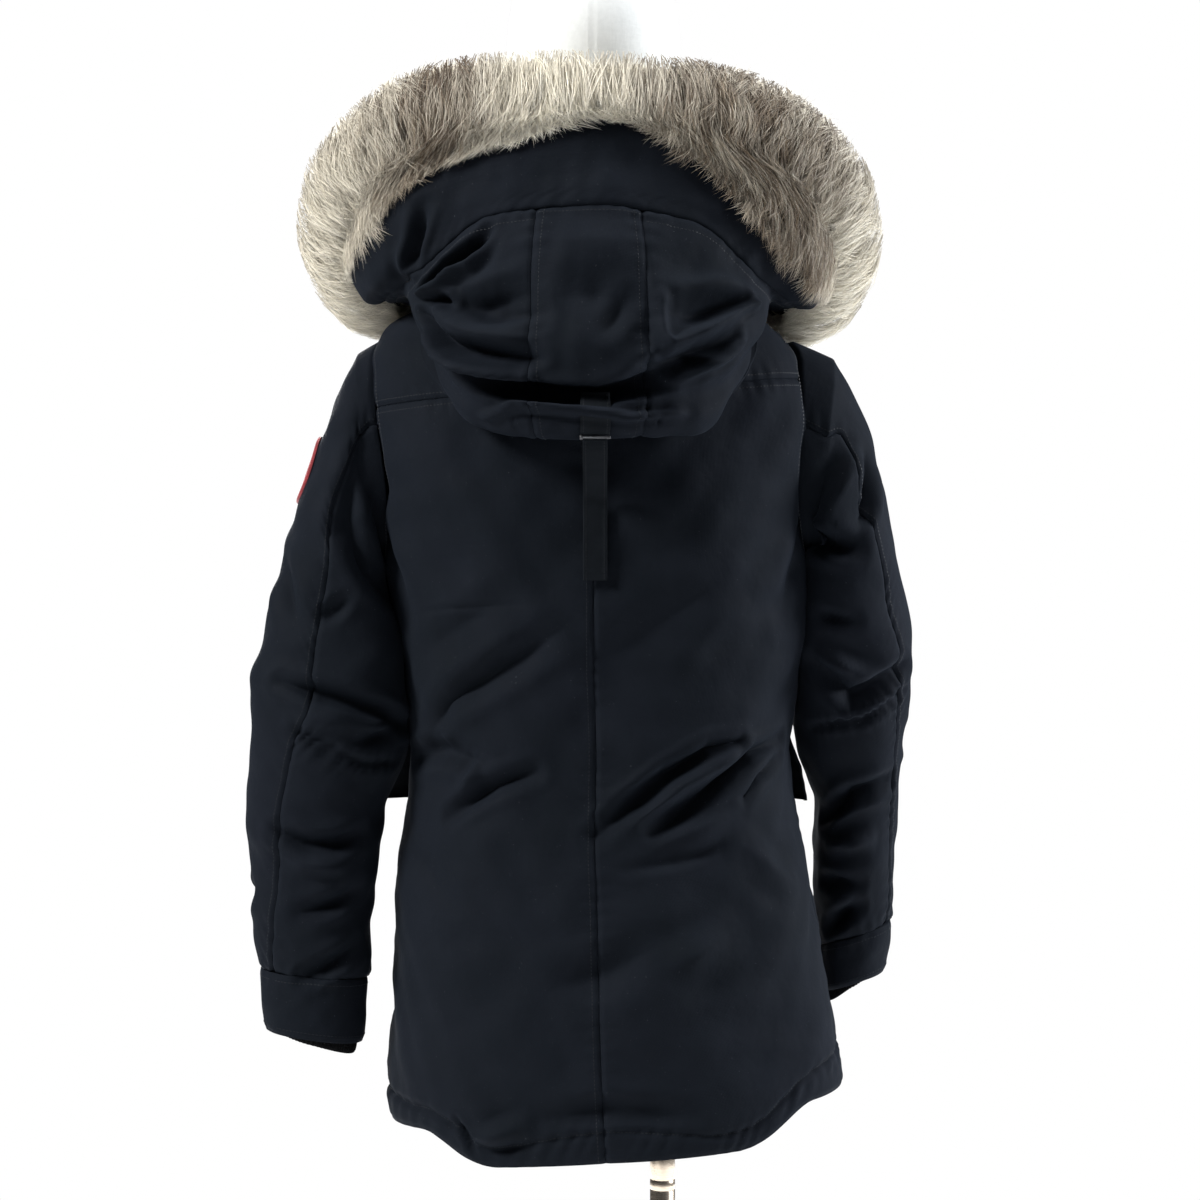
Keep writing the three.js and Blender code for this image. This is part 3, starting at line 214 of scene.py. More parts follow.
# The hood and the ruff's core, as in the part's source.
RUFF = ("s coreX coreY coreZ out tall attach", [
    (0, 0, 110, 1536, 42, 39, -20),
    (0.13, 58, 106, 1535, 44, 41, -24),
    (0.245, 108, 94, 1531, 47, 45, -34),
    (0.365, 156, 72, 1517, 48, 48, -50),
    (0.486, 192, 40, 1490, 48, 47, -72),
    (0.6, 205, 4, 1454, 47, 46, -98),
    (0.7, 201, -32, 1422, 46, 44, -122),
    (0.8, 180, -64, 1406, 44, 42, -142),
    (0.9, 144, -94, 1388, 42, 40, -155),
    (1, 104, -116, 1370, 39, 37, -162),
])
HOOD_PAIRS = ["brim", "hang", "seam", "crown", "lower", "crease", "roll", "low", "under", "neck"]
HOOD = ("s " + " ".join(pair + axis for pair in HOOD_PAIRS for axis in "RZ"), [
    (0, 164, 1480, 171, 1458, 175, 1441, 191, 1385, 200, 1318,
     188, 1287, 190, 1266, 172, 1250, 150, 1275, 84, 1424),
    (0.13, 171, 1476, 175, 1452, 177, 1433, 192, 1376, 200, 1314,
     187, 1290, 187, 1269, 170, 1257, 150, 1284, 84, 1422),
    (0.245, 194, 1460, 193, 1424, 188, 1394, 190, 1370, 188, 1344,
     174, 1329, 172, 1313, 160, 1304, 147, 1326, 87, 1418),
    (0.365, 211, 1434, 205, 1388, 184, 1379, 175, 1379, 167, 1377,
     160, 1374, 155, 1371, 147, 1371, 137, 1378, 90, 1412),
    (0.486, 212, 1414, 199, 1381, 181, 1378, 170, 1379, 162, 1380,
     154, 1380, 148, 1381, 141, 1382, 131, 1387, 92, 1406),
    (0.6, 198, 1396, 188, 1384, 176, 1381, 166, 1381, 158, 1381,
     151, 1382, 145, 1383, 138, 1385, 128, 1388, 91, 1399),
    (0.7, 172, 1384, 167, 1381, 160, 1380, 153, 1380, 147, 1381,
     141, 1382, 136, 1383, 130, 1384, 121, 1386, 89, 1394),
    (0.8, 148, 1374, 144, 1374, 139, 1375, 134, 1376, 130, 1378,
     125, 1379, 121, 1380, 116, 1382, 109, 1384, 84, 1390),
    (0.9, 124, 1364, 120, 1366, 116, 1368, 113, 1370, 110, 1372,
     107, 1374, 104, 1376, 101, 1378, 97, 1381, 80, 1386),
    (1, 109, 1354, 107, 1357, 105, 1360, 103, 1363, 101, 1366,
     99, 1369, 97, 1372, 95, 1375, 91, 1377, 77, 1381),
])
HOOD_SEAM_W, HOOD_UNDER_W, HOOD_END_W = 3, 8, 10
HOOD_CENTRE_X = 9
HOOD_RIGHT_DROP = 9
HOOD_END_S = 0.985
HOOD_PANEL_S = 0.062
HOOD_W_PER_S = 14
BRIM_CLEARANCE = PADDED_WALL + 2
RUFF_CLEARANCE = REST_CLEARANCE + PADDED_WALL + 3

# On the hood a place is a share of the way round and a station down from the ruff.
HOOD_FOLDS = [
    (0.22, -5, (0.225, 1.5), (0.242, 2.2), (0.26, 2.65)),
    (0.2, 4, (0.275, 2.1), (0.277, 2.6), (0.255, 3.15)),
    (0.16, -9, (0.126, 3.34), (0.148, 3.52), (0.175, 3.56), (0.226, 3.68)),
    (0.12, 5, (0.118, 3.42), (0.124, 3.58), (0.14, 3.7), (0.17, 3.76), (0.23, 3.88)),
    (0.1, 4.5, (0.235, 3.9), (0.19, 3.95), (0.17, 4.07), (0.157, 4.18)),
    (0.12, -6, (0.2, 4.07), (0.174, 4.13), (0.166, 4.2)),
    (0.2, -6, (0.155, 4.25), (0.122, 4.28), (0.098, 4.24), (0.06, 4.2)),
    (0.18, -5, (0.13, 4.49), (0.09, 4.43), (0.05, 4.46)),
    (0.2, 5, (0.19, 4.15), (0.178, 4.35), (0.13, 4.62), (0.08, 4.82)),
    (0.16, -8, (0.228, 4.4), (0.175, 4.77), (0.13, 4.83), (0.088, 4.95), (0.054, 5.08)),
    (0.16, 5, (0.21, 4.82), (0.186, 5.06), (0.146, 5.1), (0.102, 5.27), (0.066, 5.45)),
    (0.3, -10, (0.2, 5.35), (0.134, 5.58), (0.086, 5.92), (0.034, 6.08), (-0.014, 6.1), (-0.054, 5.77),
     (-0.076, 5.35), (-0.105, 5.12)),
    (0.2, 5, (0.12, 7), (0.078, 6.5), (0.042, 6.62), (-0.042, 6.9), (-0.096, 6.77)),
    (0.12, 6, (-0.078, 4.28), (-0.074, 4.65), (-0.083, 4.8), (-0.1, 4.72), (-0.146, 4.42), (-0.23, 4.03)),
    (0.2, -9, (-0.088, 4.4), (-0.134, 4.27), (-0.205, 4.04)),
    (0.16, -6, (-0.064, 5.2), (-0.114, 4.8), (-0.178, 4.62)),
    (0.15, 4, (-0.086, 5.55), (-0.13, 5.03), (-0.19, 4.78)),
    (0.35, -2.5, (0.036, 4.3), (0, 4.28), (-0.036, 4.33)),
    (0.14, -2.5, (-0.012, 4.75), (-0.03, 4.48), (-0.04, 4.3)),
    (0.3, 1.5, (0.044, 3.58), (-0.044, 3.58)),
    (0.03, -1.2, (0.085, 6.9), (0.082, 7.5)),
    (0.03, -1.2, (-0.076, 6.85), (-0.079, 7.3)),
    (0.035, -1.2, (-0.15, 4.9), (-0.2, 4.72)),
    (0.035, -1.2, (-0.15, 5.02), (-0.196, 4.84)),
]

# The strap, the pockets and the patch
STRAP_X, STRAP_FROM_S, STRAP_TO_S, STRAP_FROM_W, STRAP_TO_W = 4, -0.0227, 0.0089, 6, 7.5
STRAP_THICK = 1.8
TAIL_HALF, TAIL_END, TAIL_OFF, TAIL_FALLEN = 10, 1136, 0.8, 0.45
BAR_LENGTH, BAR_RADIUS = 25, 1.3
POCKET_FROM, POCKET_TO, POCKET_LOW, POCKET_HIGH, POCKET_THICK = 110, 150, 820, 985, 7
FLAP_FROM, FLAP_TO, FLAP_LOW, FLAP_HIGH, FLAP_STAND = 100, 150, 940, 1005, 9
FLAP_FLARE = {"left": 24, "right": 8}
PATCH_CENTRE_T, PATCH_HALF_T, PATCH_ANGLE, PATCH_HALF_ANGLE = 4.12, 0.52, -1, 25

# How far inside the cloth's plain inner face the form lies
FORM_INSET = ("level inset", [
    (730, 20), (860, 14), (990, 11), (1130, 12), (1210, 10), (1280, 5), (1325, 3.2),
    (1350, 1.8), (1374, 0.9), (1390, 9), (1402, 22), (1430, 25), (1465, 25),
])

# How dark the fur is along the ruff, from its right end to its left one: the share of brown in it.
FUR_TONES = ("s dark", [
    (-1, 0.1), (-0.7, 0.02), (-0.57, 0.08), (-0.44, 0.6), (-0.3, 1.1), (-0.18, 1.0), (-0.1, 0.6),
    (-0.05, 0.08), (0.02, 0), (0.12, 0.04), (0.17, 0.5), (0.24, 1.2), (0.31, 0.7), (0.42, 0.35),
    (0.55, 0.2), (0.7, 0.12), (1, 0.15),
])

# How far down the brim the fur falls: the station that it reaches along the ruff
FUR_COVER = ("s reach", [
    (-1, 0.5), (-0.6, 1.4), (-0.42, 1.9), (-0.31, 2.25), (-0.23, 2.05), (-0.186, 1.5), (-0.138, 0.8),
    (-0.094, 0.35), (-0.02, 0.2), (0.04, 0.4), (0.12, 0.65), (0.2, 0.75), (0.27, 1.05), (0.35, 1.45),
    (0.6, 1.2), (1, 0.5),
])

# Small helpers

def smooth_step(t):
    return t * t * (3 - 2 * t)


def share_of(value, start, end):
    return np.clip((value - start) / (end - start), 0, 1)


def signed_power(value, power):
    return np.sign(value) * np.abs(value) ** power


def vector(x, y, z):
    return np.stack(np.broadcast_arrays(x, y, z), axis=-1).astype(float)


def unit(v):
    return v / np.maximum(np.linalg.norm(v, axis=-1, keepdims=True), 1e-9)


def sin_of(angle):
    return np.sin(np.radians(angle))


def cos_of(angle):
    return np.cos(np.radians(angle))


# Soft, uneven waves through space, the same ones each time
def ripple(points, wavelength, seed, waves=7):
    rng = np.random.default_rng(seed)
    total = np.zeros(points.shape[:-1])
    for _ in range(waves):
        direction = rng.normal(size=3)
        turns = 2 * math.pi / (wavelength * rng.uniform(0.7, 1.5) * np.linalg.norm(direction))
        total += np.sin(points @ direction * turns + rng.uniform(0, 2 * math.pi))
    return total / math.sqrt(waves)


# Reads columns of a table at many places, on curves that don't overshoot its rows. A table whose first row
# lies on the middle line is level there, apart from the column that changes sign across it.
class Table:
    def __init__(self, table, crossing=None):
        columns, rows = table
        data = np.array(rows, float)
        self.keys = data[:, 0]
        self.values, self.slopes = {}, {}
        for i, name in enumerate(columns.split()[1:], 1):
            steps = np.diff(data[:, i]) / np.diff(self.keys)
            before, after = steps[:-1], steps[1:]
            both = np.where(before * after > 0, before + after, 1)
            inner = np.where(before * after > 0, 2 * before * after / both, 0)
            first = 0 if crossing and name != crossing else steps[0]
            self.values[name] = data[:, i]
            self.slopes[name] = np.concatenate([[first], inner, [steps[-1]]])

    def __call__(self, at, *names):
        at = np.asarray(at, float)
        i = np.clip(np.searchsorted(self.keys, at) - 1, 0, len(self.keys) - 2)
        span = self.keys[i + 1] - self.keys[i]
        t = np.clip((at - self.keys[i]) / span, 0, 1)
        found = []
        for name in names:
            a, b = self.values[name][i], self.values[name][i + 1]
            sa, sb = self.slopes[name][i] * span, self.slopes[name][i + 1] * span
            found.append(a + t * (sa + t * (3 * (b - a) - 2 * sa - sb + t * (sa + sb - 2 * (b - a)))))
        return found[0] if len(found) == 1 else found


# How far places lie from a line through some points, and the share of its length that they lie beside
def beside_line(points, along, up, per_unit=1):
    points = np.array(points, float) * np.array([per_unit, 1])
    steps = np.diff(points, axis=0)
    lengths = np.hypot(steps[:, 0], steps[:, 1])
    done, nearest = 0, np.full(np.broadcast(along, up).shape, 1e9)
    place = np.zeros_like(nearest)
    for (x, y), (dx, dy), length in zip(points, steps, lengths):
        t = np.clip(((along - x) * dx + (up - y) * dy) / (length * length), 0, 1)
        away = np.hypot(along - x - t * dx, up - y - t * dy)
        closer = away < nearest
        nearest, place = np.where(closer, away, nearest), np.where(closer, done + t * length, place)
        done += length
    return nearest, place / done


# The height that a list of folds adds, where both coordinates are in the same unit. The cloth beside a
# fold rises a little as the fold sinks.
def fold_height(folds, along, up, per_unit):
    height = np.zeros(np.broadcast(along, up).shape)
    for width, depth, *points in folds:
        away, place = beside_line(points, along, up, per_unit)
        away = away / (width * FOLD_NARROW)
        profile = np.exp(-(away ** 1.5)) - 0.28 * np.exp(-(((away - 2.1) / 0.9) ** 2))
        height += FOLD_STRENGTH * depth * profile * (0.3 + 0.7 * np.sin(math.pi * place))
    return height


# A surface of two coordinates, with the steps that its slopes are taken over
class Surface:
    def __init__(self, at, du, dv, turn=1):
        self.at, self.du, self.dv, self.turn = at, du, dv, turn

    def normal(self, u, v):
        along_u = self.at(u + self.du, v) - self.at(u - self.du, v)
        along_v = self.at(u, v + self.dv) - self.at(u, v - self.dv)
        return unit(np.cross(along_v, along_u)) * self.turn


# Body

torso_row = Table(TORSO)
channel_row = Table(CHANNEL)


def half_turn(angle):
    return np.where(angle > 180, angle - 360, angle)


def lift_share(facing, level):
    return np.where(level >= HEM_LIFT_BELOW, facing, smooth_step(share_of(facing, HEM_LIFT_FROM, HEM_LIFT_TO)))


def plain_torso(angle, level):
    half, deep_back, deep_front, power, centre = torso_row(level, "half", "back", "front", "power", "centre")
    back_lift, front_lift, tilt = torso_row(level, "backLift", "frontLift", "sideTilt")
    side, back = sin_of(angle), cos_of(angle)
    lift = np.where(back > 0, back_lift, front_lift) * lift_share(back * back, level)
    return vector(
        centre + half * signed_power(side, 2 / power),
        np.where(back > 0, deep_back, deep_front) * signed_power(back, 2 / power),
        level + lift + tilt * side,
    )


plain_body = Surface(plain_torso, 1.5, 2)


def folded_torso(angle, level):
    turned = half_turn(angle)
    channel = CHANNEL_DEPTH * np.exp(-(((level - channel_row(turned, "level")) / CHANNEL_WIDTH) ** 2))
    height = fold_height(TORSO_FOLDS, turned * MM_PER_DEGREE, level, MM_PER_DEGREE) + channel
    return plain_torso(angle, level) + plain_body.normal(angle, level) * height[..., None]


# The panels' columns keep to the centre-back seam and to the placket's edges.
def column_angle(column, level):
    half, power, seam = torso_row(level, "half", "power", "seam")
    beside = np.degrees(np.arcsin((PLACKET_HALF_WIDTH / half) ** (power / 2)))
    aside = np.degrees(np.arcsin(np.abs(seam / half) ** (power / 2)))
    wrapped = half_turn(column)
    turned = np.abs(wrapped)
    last = 180 - TORSO_STEP
    between = 90 + (turned - 90) * (90 - beside) / (last - 90)
    over = 180 - beside * (180 - turned) / TORSO_STEP
    front = np.sign(wrapped) * np.where(turned <= last, between, over)
    return np.where(turned <= 90, wrapped + aside * (1 - turned / 90), front)


# The panels' levels slope along the yoke's seam.
def sloped_level(column, level):
    wrapped = half_turn(column)
    ends = np.where(level < YOKE_LEVEL, YOKE_LOW, YOKE_HIGH)
    near = np.clip((level - ends) / (YOKE_LEVEL - ends), 0, 1)
    turned = np.clip((YOKE_FADE - np.abs(wrapped)) / (YOKE_FADE - 90), 0, 1)
    slope = YOKE_MIDDLE + YOKE_SIDE * sin_of(wrapped)
    return level + slope * smooth_step(near) * smooth_step(turned)


def body_at(column, level):
    column, level = np.broadcast_arrays(np.asarray(column, float), np.asarray(level, float))
    sloped = sloped_level(column, level)
    return folded_torso(column_angle(column, sloped), sloped)


body = Surface(body_at, 1.5, 2)


# How far out a point lies, as a share of the body's radius in its direction
def torso_share(p):
    level = p[..., 2].copy()
    for _ in range(8):
        half, back, front, power, centre = torso_row(level, "half", "back", "front", "power", "centre")
        back_lift, front_lift, tilt = torso_row(level, "backLift", "frontLift", "sideTilt")
        behind = p[..., 1] > 0
        across = np.abs((p[..., 0] - centre) / half) ** power
        deep = np.abs(p[..., 1] / np.where(behind, back, front)) ** power
        total = np.maximum(across + deep, 1e-9)
        side = np.sign(p[..., 0] - centre) * np.sqrt(across / total)
        lift = np.where(behind, back_lift, front_lift) * lift_share(deep / total, level)
        level = (level + p[..., 2] - lift - tilt * side) / 2
    return total ** (1 / power)


def clear_of_torso(p, clearance):
    share = torso_share(p)
    centre = torso_row(p[..., 2], "centre")
    reach = np.hypot(p[..., 0] - centre, p[..., 1])
    least = reach / share + clearance
    grown = np.where(reach >= least, 1, least / np.maximum(reach, 1e-9))
    return vector(centre + (p[..., 0] - centre) * grown, p[..., 1] * grown, p[..., 2])


def rest_on_torso(p, clearance):
    outward = clear_of_torso(p, clearance)
    moved = np.linalg.norm(outward - p, axis=-1) > 1e-9
    if not moved.any():
        return p
    sunk = p[moved]
    need = np.broadcast_to(clearance, p.shape[:-1])[moved]
    low, high = sunk[:, 2].copy(), sunk[:, 2] + 90
    for _ in range(12):
        middle = (low + high) / 2
        inside = torso_share(vector(sunk[:, 0], sunk[:, 1], middle)) < 1
        low, high = np.where(inside, middle, low), np.where(inside, high, middle)
    upward = high + need * 1.3
    aside = np.linalg.norm(outward[moved] - sunk, axis=-1)
    raised = vector(sunk[:, 0], sunk[:, 1], upward)
    found = p.copy()
    found[moved] = np.where((upward - sunk[:, 2] < aside)[:, None], raised, outward[moved])
    return found


# Sleeves

class Sleeve:
    def __init__(self, name, side, table, folds):
        self.name, self.side, self.folds = name, side, folds
        self.row = Table(table)
        self.first_seam = table[1][0][-1]
        self.plain = Surface(self.plain_at, 0.01, 0.02, -side)
        self.surface = Surface(self.at, 0.01, 0.02, -side)

    def angle(self, share, t):
        return np.where(t < 2, self.first_seam, self.row(t, "seam")) - share * 360

    def armhole(self, angle, proud):
        across = signed_power(sin_of(angle), 2 / ARMHOLE_POWER)
        upward = signed_power(cos_of(angle), 2 / ARMHOLE_POWER)
        y = ARMHOLE_Y + ARMHOLE_HALF_DEPTH * across
        z = ARMHOLE_Z + ARMHOLE_HALF_HEIGHT * upward
        half, back, front, power, centre = torso_row(z, "half", "back", "front", "power", "centre")
        depth = np.where(y > 0, back, front)
        reach = half * (1 - np.abs(y / depth) ** power) ** (1 / power)
        return vector(centre + self.side * (reach + proud), y, z)

    def hanging(self, angle, t):
        out_x, out_z, in_x, in_z, mid, half = self.row(t, "outX", "outZ", "inX", "inZ", "mid", "half")
        across = signed_power(cos_of(angle), 2 / ARMHOLE_POWER)
        back = signed_power(sin_of(angle), 2 / ARMHOLE_POWER)
        x = (out_x + in_x) / 2 + (out_x - in_x) / 2 * across
        z = (out_z + in_z) / 2 + (out_z - in_z) / 2 * across
        return clear_of_torso(vector(self.side * x, mid + half * back, z), SLEEVE_CLEARANCE)

    def plain_at(self, share, t):
        share, t = np.broadcast_arrays(np.asarray(share, float), np.asarray(t, float))
        angle = self.angle(share, t)
        near = self.armhole(angle, -SLEEVE_DEEP + (SLEEVE_DEEP + SLEEVE_PROUD) * np.clip(t, 0, 1))
        blend = smooth_step(np.clip(t - 1, 0, 1))[..., None]
        return near * (1 - blend) + self.hanging(angle, np.maximum(t, 2)) * blend

    def at(self, share, t):
        p = self.plain_at(share, t)
        wrapped = (self.angle(share, t) + 180) % 360 - 180
        past = np.broadcast_to(t, p.shape[:-1]) > 2
        folds = fold_height(self.folds, wrapped * SLEEVE_MM_PER_DEGREE, p[..., 2], SLEEVE_MM_PER_DEGREE)
        shaped = p + self.plain.normal(share, t) * np.where(past, folds, 0)[..., None]
        return np.where(past[..., None], clear_of_torso(shaped, SLEEVE_CLEARANCE), shaped)


sleeves = [Sleeve("left", 1, LEFT_SLEEVE, LEFT_FOLDS), Sleeve("right", -1, RIGHT_SLEEVE, RIGHT_FOLDS)]


# Hood and ruff

ruff_row = Table(RUFF, "coreX")
hood_row = Table(HOOD, "s")


def ruff_core(s):
    x, y, z = ruff_row(np.abs(s), "coreX", "coreY", "coreZ")
    drop = np.where(s < 0, HOOD_RIGHT_DROP * np.sin(math.pi * np.minimum(1, np.abs(s))), 0)
    return vector(HOOD_CENTRE_X + np.sign(s) * x, y, z - drop), drop


# The ruff's core with the directions away from the neck and up, and its two half sizes
def ruff_section(s):
    core = ruff_core(s)[0]
    along = unit(ruff_core(np.minimum(1, s + 0.02))[0] - ruff_core(np.maximum(-1, s - 0.02))[0])
    aside = unit(np.cross(np.array([0, 0, 1.0]), along))
    outward = aside[..., 0] * (core[..., 0] - HOOD_CENTRE_X) + aside[..., 1] * core[..., 1]
    aside = aside * np.where(outward < 0, -1, 1)[..., None]
    upward = unit(np.cross(along, aside))
    upward = upward * np.where(upward[..., 2] < 0, -1, 1)[..., None]
    out, tall = ruff_row(np.abs(s), "out", "tall")
    return core, aside, upward, out, tall


def ruff_point(s, angle, grown=0, share=1):
    core, aside, upward, out, tall = ruff_section(s)
    across = (out * share + grown) * cos_of(angle)
    up = (tall * share + grown) * sin_of(angle)
    return core + aside * across[..., None] + upward * up[..., None]


def clear_of_ruff(s, p):
    core, aside, upward, out, tall = ruff_section(s)
    across = ((p - core) * aside).sum(-1)
    up = ((p - core) * upward).sum(-1)
    share = np.hypot(across / (out + BRIM_CLEARANCE), up / (tall + BRIM_CLEARANCE))
    short = np.where(share < 1, 1 / np.maximum(share, 1e-9) - 1, 0)
    return p + aside * (across * short)[..., None] + upward * (up * short)[..., None]


def plain_hood(s, w):
    s, w = np.broadcast_arrays(np.asarray(s, float), np.asarray(w, float))
    core, drop = ruff_core(s)
    heading = np.arctan2(core[..., 0] - HOOD_CENTRE_X, core[..., 1])
    attach = ruff_row(np.abs(s), "attach")
    places = [ruff_point(s, attach, BRIM_CLEARANCE)]
    for i, pair in enumerate(HOOD_PAIRS, 1):
        reach, z = hood_row(np.abs(s), pair + "R", pair + "Z")
        lower = z - drop * (1 - i / HOOD_END_W)
        places.append(vector(HOOD_CENTRE_X + np.sin(heading) * reach, np.cos(heading) * reach, lower))
    places = np.stack(places)
    k = np.clip(np.floor(w).astype(int), 0, HOOD_END_W - 1)
    pick = lambda n: np.take_along_axis(places, np.clip(n, 0, HOOD_END_W)[None, ..., None], 0)[0]
    before, start, end, after = pick(k - 1), pick(k), pick(k + 1), pick(k + 2)
    t, rise = (w - k)[..., None], end - start
    first = np.where((k == 0)[..., None], rise, (end - before) / 2)
    last = np.where((k == HOOD_END_W - 1)[..., None], rise, (after - start) / 2)
    eased = start + t * (first + t * (3 * rise - 2 * first - last + t * (first + last - 2 * rise)))
    return clear_of_ruff(s, eased)


smooth_hood = Surface(plain_hood, 0.012, 0.1, -1)


# The hood, lifted off the shoulders
def lifted_hood(s, w):
    s, w = np.broadcast_arrays(np.asarray(s, float), np.asarray(w, float))
    shaped = plain_hood(s, w)
    under = np.where(w > HOOD_UNDER_W, UNDER_CLEARANCE, REST_CLEARANCE)
    clearance = np.where(w >= HOOD_END_W, NECK_CLEARANCE, under)
    inside = shaped - smooth_hood.normal(s, w) * PADDED_WALL
    return rest_on_torso(shaped + rest_on_torso(inside, clearance) - inside, clearance)


hood = Surface(lifted_hood, 0.012, 0.1, -1)


# Meshes

# Makes a mesh object from points in millimetres and faces of four corners each, with UVs in metres.
def mesh_object(name, points, quads, material, uv=None, triangles=None, smooth=True):
    points = (np.asarray(points, float).reshape(-1, 3) - BASE_CENTRE) * MM
    mesh = bpy.data.meshes.new(name)
    mesh.vertices.add(len(points))
    mesh.vertices.foreach_set("co", points.astype(np.float32).ravel())
    quads = np.asarray(quads, np.int32).reshape(-1, 4)
    triangles = np.zeros((0, 3), np.int32) if triangles is None else np.asarray(triangles, np.int32)
    corners = np.concatenate([quads.ravel(), triangles.ravel()])
    sizes = np.concatenate([np.full(len(quads), 4), np.full(len(triangles), 3)])
    mesh.loops.add(len(corners))
    mesh.loops.foreach_set("vertex_index", corners)
    mesh.polygons.add(len(sizes))
    mesh.polygons.foreach_set("loop_start", np.concatenate([[0], np.cumsum(sizes)[:-1]]).astype(np.int32))
    mesh.polygons.foreach_set("use_smooth", np.full(len(sizes), smooth))
    mesh.update(calc_edges=True)
    mesh.validate()
    if uv is not None:
        layer = mesh.uv_layers.new(name="weave")
        layer.data.foreach_set("uv", (np.asarray(uv).reshape(-1, 2)[corners] * MM).astype(np.float32).ravel())
    mesh.materials.append(material)
    made = bpy.data.objects.new(name, mesh)
    bpy.context.scene.collection.objects.link(made)
    return made


# The faces of a grid of points, seen from the side that the normals point to. One may be closed round.
def grid_faces(rows, columns, closed=False):
    i, j = np.meshgrid(np.arange(rows if closed else rows - 1), np.arange(columns - 1), indexing="ij")
    ahead = (i + 1) % rows
    return np.stack([i * columns + j, ahead * columns + j, ahead * columns + j + 1, i * columns + j + 1], -1)


def facing(points, quads, normals):
    flat, out = points.reshape(-1, 3), normals.reshape(-1, 3)
    some = quads.reshape(-1, 4)[:: max(1, quads.size // 4000)]
    across = np.cross(flat[some[:, 2]] - flat[some[:, 0]], flat[some[:, 3]] - flat[some[:, 1]])
    return quads if (across * out[some[:, 0]]).sum() > 0 else quads[..., ::-1]


# Places along a line of a surface, evenly spaced over it and closer together near the chosen ends
def spaced(line, start, end, spacing, close=None, ends="both", reach=14):
    close = close or spacing
    tries = np.linspace(start, end, 600)
    along = np.concatenate([[0], np.cumsum(np.linalg.norm(np.diff(line(tries), axis=0), axis=1))])
    total = along[-1]
    near_start = along if ends in ("both", "start") else np.full_like(along, total)
    near_end = total - along if ends in ("both", "end") else np.full_like(along, total)
    step = close + (spacing - close) * smooth_step(np.clip(np.minimum(near_start, near_end) / reach, 0, 1))
    count = np.concatenate([[0], np.cumsum(np.diff(along) / ((step[1:] + step[:-1]) / 2))])
    wanted = np.linspace(0, count[-1], max(3, round(count[-1]) + 1))
    return np.interp(wanted, count, tries)


